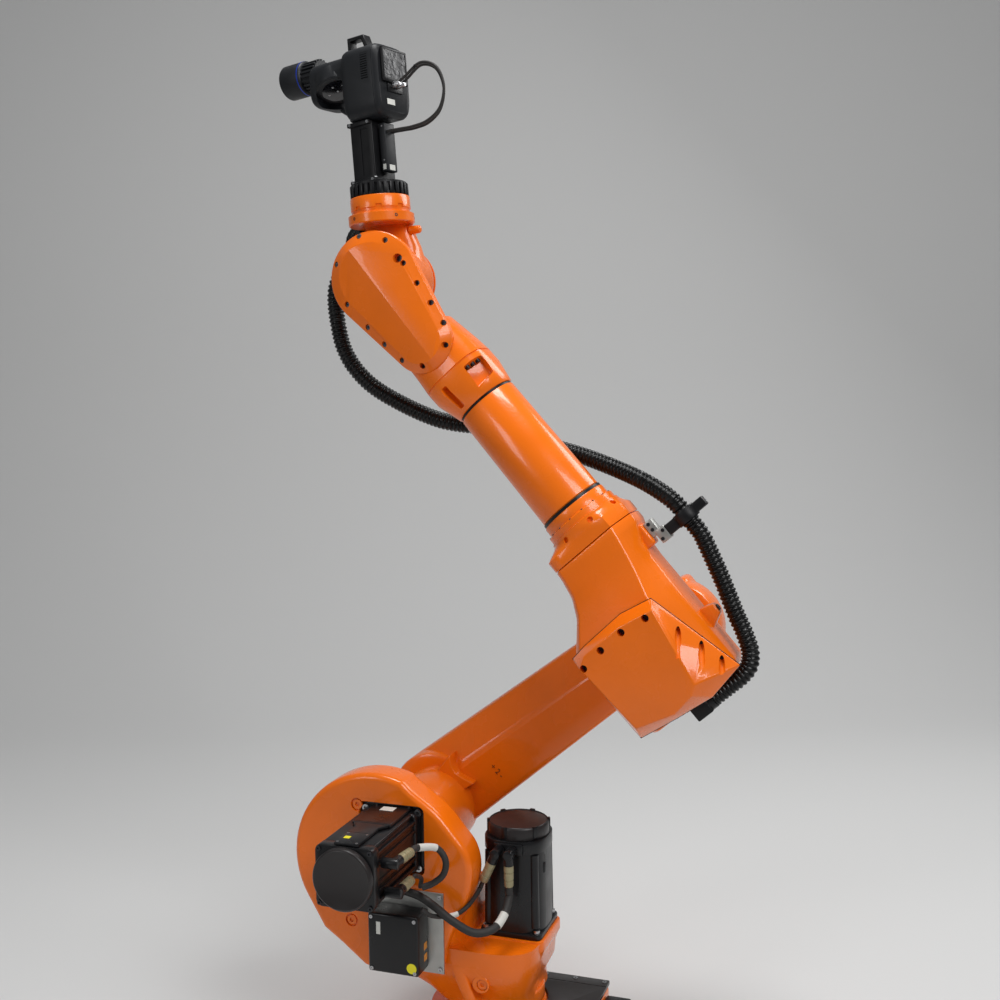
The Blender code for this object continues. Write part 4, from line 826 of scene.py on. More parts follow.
# base
FOOT_HALF_X = 0.1675
FOOT_HALF_Y = 0.155
FOOT_CORNER = 0.045
FOOT_THICKNESS = 0.028
BOLT_X = 0.1355
BOLT_Y = 0.1365
PAD_Y = 0.123
DRUM_PROFILE = (
    (0.116, 0.060), (0.119, 0.068), (0.1235, 0.0735), (0.125, 0.078), (0.125, 0.0905),
    (0.1235, 0.0927), (0.098, 0.0927), (0.098, 0.0985), (0.0970, 0.0997), (0.0, 0.0997))
RIB_OUTLINE = ((0.105, 0.020), (0.150, 0.020), (0.150, 0.034), (0.126, 0.062), (0.123, 0.080),
               (0.105, 0.080))
RIB_ANGLES = (35.0, 68.0, -35.0, -68.0, 0.0)
CONNECTOR_FRONT = -0.1953
SOCKET_SPREAD = 0.046
SOCKET_HEIGHT = 0.0585
SHELL_PROFILE = ((0.0, 0.0), (0.0205, 0.0), (0.0205, 0.016), (0.0170, 0.0175), (0.0170, 0.033),
                 (0.0140, 0.0338), (0.0135, 0.024), (0.0, 0.024))
COVER_BOTTOM = 0.0933
COVER_TOP = 0.1020
COVER_CUT = 0.101
COVER_HALF_WIDTH = 0.125


def drum_flare():
    """The hollow curve that rises from the foot plate to the drum."""
    points = [(0.0, 0.014), (0.150, 0.014)]
    for degrees in range(15, 91, 15):
        angle = math.radians(degrees)
        points.append((0.116 + 0.034 * (1.0 - math.sin(angle)),
                       0.026 + 0.030 * (1.0 - math.cos(angle))))
    return points


def build_foot():
    """The foot casting: plate, drum, neck to the rear, ribs and bolt pads."""
    outline = rounded(FOOT_HALF_X, FOOT_HALF_Y, FOOT_CORNER)
    foot = soften(skin("arm_base", [[(x, y, z) for x, y in outline] for z in (0.0, FOOT_THICKNESS)]),
                  sizes().edge)
    drum = turned("drum", drum_flare() + list(DRUM_PROFILE), ORIGIN, PLUS_Z, sides=ROUND)
    neck = block("neck", (-0.195, -0.122, 0.014), (0.0, 0.122, 0.0925), 0.006)
    ribs = []
    for angle in RIB_ANGLES:
        turn = Matrix.Rotation(math.radians(angle), 4, "Z")
        ribs.append(soften(plate("rib", RIB_OUTLINE, -0.007, 0.007, turn), 0.003, 2))
    fuse(foot, drum, neck, *ribs)
    pads = [rod("pad", (x, y, 0.020), (x, y, 0.031), 0.022, sides=40)
            for x in (-BOLT_X, BOLT_X) for y in (-PAD_Y, PAD_Y)]
    fuse(foot, *pads)
    place(foot, "base", orange_paint(), ["base_casting"])
    bolts = [((x, y, 0.036), PLUS_Z) for x in (-BOLT_X, BOLT_X) for y in (-BOLT_Y, BOLT_Y)]
    screws("base_bolts", bolts, 0.011, 0.010, steel(), "base")
    seal_ring("turntable_seal", 0.086, 0.1003, 0.1057, ORIGIN, PLUS_Z, ROW, "base", "turntable_ring")


def build_connector_box():
    """The black box at the rear with its two round sockets."""
    case = block("connector_case", (CONNECTOR_FRONT - 0.050, -0.100, 0.032),
                 (CONNECTOR_FRONT, 0.100, 0.085), 0.0045)
    shells = []
    nuts = []
    for y in (-SOCKET_SPREAD, SOCKET_SPREAD):
        shells.append(turned("shell", SHELL_PROFILE, (CONNECTOR_FRONT - 0.038, y, SOCKET_HEIGHT),
                             MINUS_X, sides=40))
        nuts.append(turned("nut", hollow(0.0120, 0.0182, 0.0, 0.010),
                           (CONNECTOR_FRONT - 0.058, y, SOCKET_HEIGHT), MINUS_X, sides=12))
    fuse(case, *shells)
    place(case, "base", black_plastic(), ["base_connector_box"])
    place(merged("connector_nuts", nuts), "base", plug_metal())


def build_connector_cover():
    """The flat cover on the neck, cut out round the drum."""
    opening = math.degrees(math.acos(0.050 / COVER_CUT))
    outline = arc(0.0, 0.0, COVER_CUT, 180.0 - opening, 180.0 + opening, 41)
    outline += [(-0.050, -COVER_HALF_WIDTH), (-0.195, -COVER_HALF_WIDTH),
                (-0.195, COVER_HALF_WIDTH), (-0.050, COVER_HALF_WIDTH)]
    lid = soften(skin("connector_lid", [[(x, y, z) for x, y in outline]
                                        for z in (COVER_BOTTOM, COVER_TOP)]), 0.0014, 2)
    carve(lid, box("groove", (-0.200, -0.0975, 0.1008), (-0.050, -0.0955, 0.1030)))
    place(lid, "base", cap_plastic(), ["base_connector_cover"])
    spots = [(-0.128, -0.114), (-0.128, 0.114), (-0.187, -0.114), (-0.187, 0.0), (-0.187, 0.114),
             (-0.068, -0.114), (-0.068, 0.114)]
    screws("connector_screws", [((x, y, COVER_TOP), PLUS_Z) for x, y in spots], 0.0042, 0.0022,
           steel(), "base")


# column
# the upright motor's axis in X and Y, and the side motor's in X and Z
UPRIGHT_MOTOR = (-0.0525, 0.0085)
SIDE_MOTOR = (0.147, 0.451)
EAR_MIDDLE = (0.183, 0.403)
EAR_RADIUS = 0.165
EAR_FACE = 0.1498
EAR_SHARES = (
    (-0.467, 0.830), (-0.758, 0.624), (-0.970, 0.388), (-1.097, 0.224), (-1.152, 0.024),
    (-1.133, -0.188), (-1.067, -0.400), (-0.982, -0.570), (-0.867, -0.855), (-0.806, -1.139),
    (0.133, -1.255), (0.430, -1.018), (0.655, -0.861))
EAR_ROUND_CORNERS = 10
EAR_SCREWS = ((0.215, 0.1497, 0.508), (0.231, 0.1497, 0.285))
# height, rear, front, near side and far side of the trunk at each level
TRUNK = (
    (0.1250, -0.0900, 0.0900, 0.0900, -0.0900), (0.1500, -0.0880, 0.1200, 0.0980, -0.0900),
    (0.1850, -0.1060, 0.1650, 0.1250, -0.1000), (0.2200, -0.1110, 0.1850, 0.1360, -0.0930),
    (0.2505, -0.1120, 0.1900, 0.1380, -0.0920), (0.2512, 0.0230, 0.1900, 0.1380, -0.0920),
    (0.3000, 0.0230, 0.2050, 0.1460, -0.0750), (0.3300, 0.0270, 0.2090, 0.1460, -0.0520))
# share of the ledge's width, shift towards the motor, height
LEDGE = ((0.70, 0.6, 0.128), (0.97, 1.0, 0.230), (1.00, 1.0, 0.234), (1.00, 1.0, 0.2534))
LEDGE_HALF = 0.0645
EAR_BOSS = (-0.019, 0.1300, 0.186)
EAR_BOSS_PROFILE = ((0.0, 0.0), (0.024, 0.0), (0.0165, 0.022), (0.0165, 0.040), (0.0, 0.040))
EAR_WEB = ((-0.010, 0.1400), (0.012, 0.1400), (0.060, 0.250), (0.030, 0.250))


def ear_outline():
    """The ear from its side: round at the front and top, faceted below."""
    middle_x, middle_z = EAR_MIDDLE
    outline = arc(middle_x, middle_z, EAR_RADIUS, -30.0, 110.0, 61)
    corners = [(middle_x + x * EAR_RADIUS, middle_z + z * EAR_RADIUS) for x, z in EAR_SHARES]
    rear = smooth_route([(outline[-1][0], 0.0, outline[-1][1])]
                        + [(x, 0.0, z) for x, z in corners[:EAR_ROUND_CORNERS]], 4)
    return outline + [(point.x, point.z) for point in rear[1:]] + corners[EAR_ROUND_CORNERS:]


def column_trunk():
    rings = []
    for z, back, front, near, far in TRUNK:
        ring = superellipse((front - back) / 2.0, (near - far) / 2.0, 4.5, 64)
        rings.append([(x + (front + back) / 2.0, y + (near + far) / 2.0, z) for x, y in ring])
    return skin("trunk", rings)


def motor_ledge():
    """The square seat that carries the upright motor."""
    x0, y0 = UPRIGHT_MOTOR
    square = rounded(LEDGE_HALF, LEDGE_HALF, 0.014, 7)
    rings = [[(x0 * shift + x * share, y0 * shift + y * share, z) for x, y in square]
             for share, shift, z in LEDGE]
    return soften(skin("ledge", rings), 0.0025, 2)


def build_column():
    """The column casting: ear, trunk, turntable disc, motor ledge and the boss below the ear."""
    ear = soften(plate("arm_column", ear_outline(), 0.082, EAR_FACE), 0.015, 6, 40.0)
    disc = soften(rod("disc", (0, 0, 0.1063), (0, 0, 0.135), 0.0948, sides=ROUND), 0.003)
    fuse(ear, column_trunk(), disc, motor_ledge())
    boss = soften(turned("boss", EAR_BOSS_PROFILE, (-0.016, 0.090, 0.186), PLUS_Y, sides=40), 0.002)
    web = soften(plate("web", EAR_WEB, 0.090, 0.134), 0.008, 3)
    fuse(ear, boss, web)
    x0, z0 = SIDE_MOTOR
    seat = soften(plate("seat", rounded(0.065, 0.065, 0.012, 5, x0, z0), 0.130, 0.160), 0.003, 2)
    holes = screw_holes([(spot, PLUS_Y) for spot in EAR_SCREWS], 0.0125, 0.004)
    holes += screw_holes([(EAR_BOSS, PLUS_Y)], 0.0105, 0.005)
    carve(ear, seat, *holes)
    place(ear, "column", orange_paint(), ["column_casting"])
    heads = [((x, y - 0.0035, z), PLUS_Y) for x, y, z in EAR_SCREWS]
    heads.append(((EAR_BOSS[0], EAR_BOSS[1] - 0.0045, EAR_BOSS[2]), PLUS_Y))
    screws("ear_screws", heads, 0.0092, 0.005, orange_paint(), "column")


# motors
UPRIGHT_LOW = 0.2538
UPRIGHT_HIGH = 0.438
UPRIGHT_CAP = (
    (0.0, 0.4383), (0.0575, 0.4383), (0.0580, 0.4400), (0.0580, 0.4570), (0.0565, 0.4605),
    (0.0545, 0.4620), (0.0535, 0.4606), (0.0400, 0.4616), (0.0, 0.4622))
SIDE_START = 0.1303
SIDE_END = 0.344
SIDE_CAP = (
    (0.0, 0.3443), (0.0535, 0.3443), (0.0545, 0.3455), (0.0545, 0.3550), (0.0530, 0.3572),
    (0.0510, 0.3582), (0.0498, 0.3574), (0.0, 0.3580))
TERMINAL_BOTTOM = SIDE_MOTOR[1] + 0.0553
TERMINAL_WEDGE = ((0.108, 0.238), (0.1795, 0.238), (0.166, 0.262), (0.1215, 0.262))
TERMINAL_SCREWS = (
    (0.112, 0.148, 0.0058), (0.1755, 0.148, 0.0058), (0.126, 0.338, 0.0052),
    (0.1615, 0.338, 0.0052), (0.126, 0.296, 0.0052), (0.1615, 0.296, 0.0052))
TAB_COUNT = 6
TAB_START = 20.0


def upright_ring(half, z, power=3.0):
    x0, y0 = UPRIGHT_MOTOR
    return [(x0 + x, y0 + y, z) for x, y in superellipse(half, half, power)]


def build_upright_motor():
    """The first axis motor, upright on the ledge."""
    x0, y0 = UPRIGHT_MOTOR
    low = UPRIGHT_LOW
    body = skin("first_motor", [upright_ring(0.0590, low), upright_ring(0.0582, low + 0.10),
                                upright_ring(0.0575, UPRIGHT_HIGH)])
    flange = soften(skin("flange", [[(x0 + x, y0 + y, z) for x, y in rounded(0.060, 0.060, 0.012)]
                                    for z in (low, low + 0.011)]), 0.0015, 2)
    collar = soften(skin("collar", [upright_ring(0.0598, z) for z in (0.414, UPRIGHT_HIGH)]), 0.0015, 2)
    ribs = []
    for sx, sy in CORNER_SIGNS:
        ribs.append(rod("rib", (x0 + sx * 0.0450, y0 + sy * 0.0450, low + 0.020),
                        (x0 + sx * 0.0435, y0 + sy * 0.0435, 0.412), 0.0085, sides=20))
        ribs.append(rod("rib", (x0 + sx * 0.0545, y0 + sy * 0.018, low + 0.020),
                        (x0 + sx * 0.0535, y0 + sy * 0.018, 0.406), 0.0040, sides=12))
        ribs.append(rod("rib", (x0 + sx * 0.018, y0 + sy * 0.0545, low + 0.020),
                        (x0 + sx * 0.018, y0 + sy * 0.0535, 0.380), 0.0040, sides=12))
    pad = block("pad", (-0.0800, 0.030, 0.4150), (-0.0250, 0.0735, 0.4350), 0.002, 2)
    boss = soften(rod("boss", (-0.106, 0.030, 0.372), (-0.106, 0.030, 0.392), 0.0060, sides=20), 0.002, 2)
    fuse(body, flange, collar, pad, boss, *ribs)
    place(body, "column", motor_paint(), ["a1_motor_body"])
    spots = [(x0 + sx * 0.049, y0 + sy * 0.049, low + 0.0140) for sx, sy in CORNER_SIGNS]
    screws("first_motor_screws", [(spot, PLUS_Z) for spot in spots], 0.0065, 0.006, steel(), "column")


def build_upright_cap():
    """The upright motor's round cap and the tabs that hold it."""
    x0, y0 = UPRIGHT_MOTOR
    cap = turned("first_motor_cap", UPRIGHT_CAP, (x0, y0, 0.0), PLUS_Z, sides=ROUND)
    place(cap, "column", cap_plastic(), ["a1_motor_cap"])
    turn = Matrix.Translation((x0, y0, 0.0)) @ Matrix.Rotation(math.radians(TAB_START), 4, "Z")
    tab = block("first_motor_tabs", (0.0540, -0.005, 0.440), (0.0597, 0.005, 0.4632), 0.0012, 2)
    place(ring_of(tab, TAB_COUNT, "Z", motor_paint(), turn), "column", motor_paint())


def side_motor_fins():
    """Rails along the side motor: five on each side, four below and one broad one on top."""
    x0, z0 = SIDE_MOTOR
    fins = []
    for dz in (0.040, 0.024, -0.010, -0.026, -0.042):
        for side in (-1.0, 1.0):
            fins.append(block("fin", (x0 + side * 0.0515 - 0.0030, 0.160, z0 + dz - 0.0034),
                              (x0 + side * 0.0515 + 0.0030, 0.324, z0 + dz + 0.0034), 0.001, 2))
    for dx in (-0.034, -0.012, 0.012, 0.034):
        fins.append(block("fin", (x0 + dx - 0.0034, 0.160, z0 - 0.0545),
                          (x0 + dx + 0.0034, 0.324, z0 - 0.050), 0.001, 2))
    rail = block("rail", (x0 - 0.048, 0.160, z0 + 0.046), (x0 + 0.048, 0.324, z0 + 0.0545), 0.003)
    return [rail] + fins


def build_side_motor():
    """The second axis motor, across on the ear."""
    x0, z0 = SIDE_MOTOR
    ring = superellipse(0.0520, 0.0520, 5.0)
    body = skin("second_motor", [[(x0 + x, y, z0 + z) for x, z in ring]
                                 for y in (SIDE_START, SIDE_END - 0.006)])
    flange = soften(plate("flange", rounded(0.0618, 0.0618, 0.012, 7, x0, z0), SIDE_START, 0.1421),
                    0.0022, 2)
    neck = soften(plate("neck", rounded(0.0550, 0.0550, 0.010, 7, x0, z0), 0.140, 0.166), 0.003, 3)
    rim = soften(plate("rim", rounded(0.0548, 0.0548, 0.012, 7, x0, z0), 0.322, SIDE_END - 0.0002),
                 0.0015, 2)
    fuse(body, flange, neck, rim, *side_motor_fins())
    place(body, "column", motor_paint(), ["a2_motor_body"])
    cap = turned("second_motor_cap", SIDE_CAP, (x0, 0.0, z0), PLUS_Y, sides=ROUND)
    place(cap, "column", cap_plastic(), ["a2_motor_cap"])
    bolts = [(x0 + sx * 0.0520, 0.1441, z0 + sz * 0.0520) for sx, sz in CORNER_SIGNS]
    screws("second_motor_bolts", [(spot, PLUS_Y) for spot in bolts], 0.0066, 0.007, steel(), "column")
    corners = [(x0 + sx * 0.0475, 0.3445, z0 + sz * 0.0475) for sx, sz in CORNER_SIGNS]
    screws("second_motor_rim_screws", [(spot, PLUS_Y) for spot in corners], 0.0042, 0.0040,
           dark_steel(), "column")


def build_terminal_box():
    """The flat box on the side motor: broad over the flange, then a wedge, then narrow."""
    low = TERMINAL_BOTTOM
    broad = block("terminal_box", (0.107, 0.1427, low), (0.1805, 0.243, low + 0.0058), 0.0018, 2)
    narrow = block("terminal_front", (0.121, 0.236, low), (0.1665, 0.3435, low + 0.0052), 0.0018, 2)
    wedge = soften(skin("wedge", [[(x, y, z) for x, y in TERMINAL_WEDGE] for z in (low, low + 0.0052)]),
                   0.0012, 2)
    fuse(broad, narrow, wedge)
    seams = [box("seam", (0.104, y - 0.0006, low + 0.0040), (0.184, y + 0.0006, low + 0.0062))
             for y in (0.2365, 0.2900)]
    carve(broad, *seams)
    place(broad, "column", motor_paint(), ["a2_terminal_box"])
    screws("terminal_screws", [((x, y, low + z), PLUS_Z) for x, y, z in TERMINAL_SCREWS],
           0.0022, 0.0010, steel(), "column")
    flat_label("motor_tag", (0.132, 0.156), (0.158, 0.176), low + 0.0059, 0.0003, white_tag(), "column")
    flat_label("motor_yellow_tag", (0.1485, 0.310), (0.1595, 0.321), low + 0.0053, 0.0003,
               yellow_tag(), "column")


# plugs, leads, signal box
PLUG_REACH = 0.022
PLUG_BARREL = (
    (0.0, 0.0200), (0.0088, 0.0200), (0.0091, 0.0220), (0.0091, 0.0310), (0.0080, 0.0316),
    (0.0080, 0.0332), (0.0090, 0.0338), (0.0089, 0.0450), (0.0077, 0.0458), (0.0077, 0.0476),
    (0.0087, 0.0482), (0.0085, 0.0578), (0.0070, 0.0598), (0.0, 0.0600))
PLUGS = (
    ("first_power", (-0.0615, 0.0743, 0.424), (0, 1, 0), (0.0, 0, -1), "a1_power"),
    ("first_signal", (-0.0365, 0.0743, 0.424), (0, 1, 0), (0.45, 0, -1), "a1_signal"),
    ("second_power", (0.0917, 0.312, 0.473), (-1, 0, 0), (-0.1, -1, 0), "a2_power"),
    ("second_signal", (0.0917, 0.300, 0.417), (-1, 0, 0), (0, -1, 0), "a2_signal"),
)
LEAD_ROUTES = {
    "first_power": ((-0.060, 0.118, 0.322), (-0.050, 0.150, 0.306), (-0.022, 0.176, 0.306),
                    (0.014, 0.188, 0.328), (0.046, 0.188, 0.349), (0.080, 0.180, 0.362),
                    (0.118, 0.172, 0.366)),
    "second_power": ((0.040, 0.196, 0.462), (0.024, 0.192, 0.440), (0.028, 0.192, 0.414),
                     (0.047, 0.194, 0.396), (0.066, 0.200, 0.388)),
    "first_signal": ((0.002, 0.140, 0.338), (0.022, 0.160, 0.326), (0.048, 0.196, 0.336),
                     (0.064, 0.210, 0.352)),
    "second_signal": ((0.072, 0.190, 0.400), (0.080, 0.176, 0.378)),
}
# radius of each lead, and where its white tag starts and ends as shares of its length
LEAD_SHAPES = {
    "first_power": (0.0074, (0.34, 0.42)), "second_power": (0.0059, (0.30, 0.43)),
    "first_signal": (0.0041, (0.62, 0.74)), "second_signal": (0.0041, None),
}
BOX_FACE = 0.2056


def build_plug(name, socket, outward, direction, node):
    """An angled plug: a dark elbow on the motor and a ringed barrel."""
    corner = socket + outward * PLUG_REACH
    body = soften(rod(name, socket, corner + outward * 0.0092, 0.0093, sides=32), 0.0016, 2)
    fuse(body, rod("shoulder", corner, corner + direction * 0.0195, 0.0092, sides=32))
    place(body, "column", motor_paint())
    barrel = turned(name + "_barrel", PLUG_BARREL, corner, direction, sides=40)
    place(barrel, "column", plug_metal(), [node])


def build_leads():
    """The four plugs and their leads down to the signal box, three of them with a white tag."""
    tags = []
    for name, socket, outward, direction, node in PLUGS:
        socket = Vector(socket)
        outward = Vector(outward).normalized()
        direction = Vector(direction).normalized()
        build_plug(name + "_plug", socket, outward, direction, node + "_plug")
        end = socket + outward * PLUG_REACH + direction * 0.0603
        route = [end, end + direction * 0.0095, end + direction * 0.019, *LEAD_ROUTES[name]]
        points = smooth_route(route, 8)
        radius, tag = LEAD_SHAPES[name]
        lead = place(tube(name + "_lead", points, radius), "column", lead_rubber(), [node + "_lead"])
        if tag:
            first = int(tag[0] * len(points))
            last = int(tag[1] * len(points))
            tags.append(tube("tag", points[first:last + 1], radius + 0.0007))
    place(merged("lead_tags", tags), "column", white_tag())


def build_mounting_plate():
    """The silver plate between the ear and the signal box."""
    bracket = block("signal_plate", (0.045, 0.1503, 0.208), (0.195, 0.1543, 0.360), 0.001, 2)
    place(bracket, "column", aluminium(), ["mounting_plate"])
    spots = ((0.052, 0.216), (0.052, 0.352), (0.187, 0.216))
    screws("plate_screws", [((x, 0.1553, z), PLUS_Y) for x, z in spots], 0.0042, 0.0030, steel(),
           "column")


def build_signal_box():
    """The black box that the leads end in, with its lid's seam and its plain stickers."""
    case = block("signal_case", (0.074, 0.1546, 0.221), (0.172, 0.2055, 0.331), 0.0045)
    seam = box("seam", (0.070, 0.1985, 0.216), (0.176, 0.1995, 0.336))
    carve(seam, box("core", (0.0752, 0.190, 0.2222), (0.1708, 0.204, 0.3298)))
    carve(case, seam)
    place(case, "column", motor_paint(), ["signal_box"])
    corners = [(x, 0.2058, z) for x in (0.081, 0.165) for z in (0.228, 0.324)]
    screws("signal_screws", [(spot, PLUS_Y) for spot in corners], 0.0034, 0.0022, steel(), "column")
    label("signal_tag", [(0.155, BOX_FACE, 0.293), (0.147, BOX_FACE, 0.293), (0.147, BOX_FACE, 0.316),
                         (0.155, BOX_FACE, 0.316)], 0.0004, white_tag(), "column")
    disc_label("signal_dot", (0.087, BOX_FACE, 0.2365), PLUS_Y, 0.0095, 0.0004, yellow_tag(), "column")
    for i, z in enumerate((0.260, 0.239)):
        label(f"signal_side_tag_{i}", [(0.0739, 0.164, z), (0.0739, 0.178, z),
                                       (0.0739, 0.178, z + 0.013), (0.0739, 0.164, z + 0.013)],
              0.0004, orange_tag(), "column")


# link
LINK_FAR = -0.185
ROOT_PROFILE = (
    (0.0, -0.1848), (0.077, -0.1848), (0.083, -0.183), (0.087, -0.178), (0.088, -0.172),
    (0.088, -0.098), (0.086, -0.093), (0.080, -0.0905), (0.0, -0.0905))
SHOULDER_PROFILE = ((0.0, -0.104), (0.080, -0.104), (0.080, 0.072), (0.078, 0.0757), (0.0, 0.0757))
HEAD_PROFILE = (
    (0.0, -0.1846), (0.062, -0.1846), (0.072, -0.182), (0.081, -0.175), (0.087, -0.165),
    (0.090, -0.152), (0.090, -0.097), (0.088, -0.090), (0.082, -0.0865), (0.0, -0.0863))
LID_PROFILE = (
    (0.0, 0.0003), (0.0716, 0.0003), (0.0716, 0.0070), (0.0690, 0.0092), (0.0640, 0.0110),
    (0.0610, 0.0118), (0.0, 0.0120))
LID_BOLT_CIRCLE = 0.054
# the bumper's two straight ends and its two hollow sides
BUMPER_TOP = ((0.050, 0.024), (0.067, 0.096))
BUMPER_FOOT = ((-0.005, 0.104), (0.000, 0.034))
BUMPER_RIGHT = ((0.067, 0, 0.096), (0.045, 0, 0.086), (0.024, 0, 0.088), (-0.005, 0, 0.104))
BUMPER_LEFT = ((0.000, 0, 0.034), (0.020, 0, 0.048), (0.034, 0, 0.044), (0.050, 0, 0.024))


def link_section(z, top, crease, bottom):
    return [(x, y, z) for x, y in ((-bottom, LINK_FAR), (-bottom, -0.085), (crease, -0.085),
                                   (top, -0.125), (top, LINK_FAR))]


def build_link():
    """The link's casting: a faceted arm between the round root and the round head."""
    body = soften(skin("arm_link", [link_section(0.0, 0.108, 0.032, 0.068),
                                    link_section(LINK_LENGTH, 0.092, 0.028, 0.043),
                                    link_section(LINK_LENGTH + 0.072, 0.080, 0.0196, 0.0202)], LINK),
                  0.010, 4)
    root = turned("root", ROOT_PROFILE, (0.020, 0, 0), PLUS_Y, LINK, ROUND)
    boss = turned("boss", SHOULDER_PROFILE, ORIGIN, PLUS_Y, LINK, ROUND)
    head = turned("head", HEAD_PROFILE, (0.012, 0, LINK_LENGTH), PLUS_Y, LINK, ROUND)
    fuse(body, head, root, boss)
    place(body, "link", orange_paint(), ["link_arm"])
    seal_ring("shoulder_seal", 0.070, 0.0763, 0.0817, ORIGIN, PLUS_Y, LINK, "link",
              "shoulder_bearing_ring")


def build_bumper():
    """The cast bumper with two hollow sides, on the link's near face."""
    right = smooth_route(BUMPER_RIGHT, 5)[1:-1]
    left = smooth_route(BUMPER_LEFT, 5)[1:-1]
    outline = list(BUMPER_TOP) + [(point.x, point.z) for point in right]
    outline += list(BUMPER_FOOT) + [(point.x, point.z) for point in left]
    bumper = soften(plate("link_bumper", outline, -0.114, -0.064, LINK), 0.004, 3, 40.0)
    place(bumper, "link", orange_paint())


def build_link_lid(name, z, node):
    """One of the two round covers on the link's far side, with its eight screws."""
    lid = turned(name, LID_PROFILE, (0, LINK_FAR, z), MINUS_Y, LINK, ROUND)
    circle = [(LID_BOLT_CIRCLE * c, z + LID_BOLT_CIRCLE * s) for c, s in spokes(8, 22.5)]
    carve(lid, *screw_holes([((x, -0.1970, h), MINUS_Y) for x, h in circle], 0.0062, 0.0035, LINK))
    place(lid, "link", orange_paint(), [node])
    screws(name + "_screws", [((x, -0.1945, h), MINUS_Y) for x, h in circle], sizes().screw,
           0.0035, dark_steel(), "link", LINK)


def build_link_mark():
    """The second axis mark, turned to run across the link."""
    right = LINK.to_3x3() @ Vector((-1.0, 0.0, 0.15)).normalized()
    out = LINK.to_3x3() @ Vector(PLUS_Y)
    turn = Matrix((right, out.cross(right).normalized(), out)).transposed().to_4x4()
    turn.translation = LINK @ Vector((-0.012, -0.0845, 0.152))
    mark("axis_mark_2", "+ 2 -", 0.016, turn, "link")


# elbow
# place along the forearm, then near, far, top, crease and bottom, as shares of the sizes below
ELBOW_SECTIONS = (
    (-1.00, 0.90, 0.92, 0.60, 1.60, 0.86), (-0.86, 1.00, 1.00, 0.75, 2.20, 0.94),
    (0.40, 1.00, 1.00, 0.76, 1.05, 1.00), (0.61, 0.88, 0.98, 0.76, 1.55, 0.74),
    (0.76, 0.84, 0.94, 0.80, 1.85, 0.63), (0.92, 0.83, 0.92, 1.00, 2.10, 0.585),
    (1.00, 0.82, 0.92, 1.00, 2.20, 0.58))
ELBOW_FRONT = 0.222
ELBOW_REAR = 0.105
ELBOW_NEAR = 0.0897
ELBOW_FAR = 0.079
ELBOW_TOP = 0.080
ELBOW_CREASE = 0.022
ELBOW_BOTTOM = 0.150
LUG_OUTLINE = ((-0.040, 0.040), (0.016, 0.040), (0.012, 0.070), (0.006, 0.086), (-0.014, 0.086),
               (-0.022, 0.070))
COVER_OUTLINE = ((0.086, -0.152), (0.0905, -0.120), (0.0945, -0.032), (0.082, 0.028),
                 (-0.099, 0.075), (-0.113, 0.002), (-0.105, -0.070), (-0.094, -0.145))
COVER_FACE = ((0.064, -0.139), (0.077, -0.119), (0.0790, -0.036), (0.066, 0.029),
              (-0.076, 0.003), (-0.087, -0.012), (-0.094, -0.056), (-0.073, -0.127))
COVER_SCREWS = ((0.061, -0.133), (0.067, -0.088), (0.069, -0.039), (0.062, 0.010))
COVER_SCOOPS = ((0.0085, 0.1035, 0.030), (-0.0365, 0.1023, 0.044), (-0.0785, 0.1032, 0.054))
SCOOP_WAY = (0.82, -0.51, 0.56)
FACET_NORMAL = (0.145, 0.832, 0.536)
GASKET_GROWTH = 1.010
# place along the forearm, share of the faceted outline, radius of the round one
FLANGE_RINGS = (
    (0.2228, 0.985, 0.0745), (0.2240, 1.0, 0.0745), (0.2440, 1.0, 0.0745),
    (0.2475, 0.80, 0.0750), (0.2525, 0.45, 0.0755), (0.2575, 0.15, 0.0750),
    (0.2620, 0.0, 0.0745), (0.2650, 0.0, 0.0745), (0.2662, 0.0, 0.0715),
    (0.2780, 0.0, 0.0712), (0.2795, 0.0, 0.0690), (0.2805, 0.0, 0.0662),
    (0.2960, 0.0, 0.0660), (0.2978, 0.0, 0.0650))
CLAMP_PROFILE = ((0.0172, -0.0115), (0.0215, -0.0115), (0.0222, -0.010), (0.0222, 0.010),
                 (0.0215, 0.0115), (0.0172, 0.0115))
DIMPLE_CIRCLE = 0.0770
PIN_CIRCLE = 0.0690


def elbow_ring(shares):
    """One faceted section across the elbow housing."""
    place_share, near, far, top, crease, bottom = shares
    x = place_share * (ELBOW_FRONT if place_share > 0.0 else ELBOW_REAR)
    near *= ELBOW_NEAR
    far *= ELBOW_FAR
    top *= ELBOW_TOP
    crease *= ELBOW_CREASE
    bottom *= ELBOW_BOTTOM
    return [(x, y, z) for y, z in (
        (near, crease), (near * 0.35, top), (-far * 0.55, top), (-far, top * 0.5),
        (-far, -bottom * 0.82), (-far * 0.7, -bottom), (near * 0.8, -bottom), (near, -bottom * 0.9))]


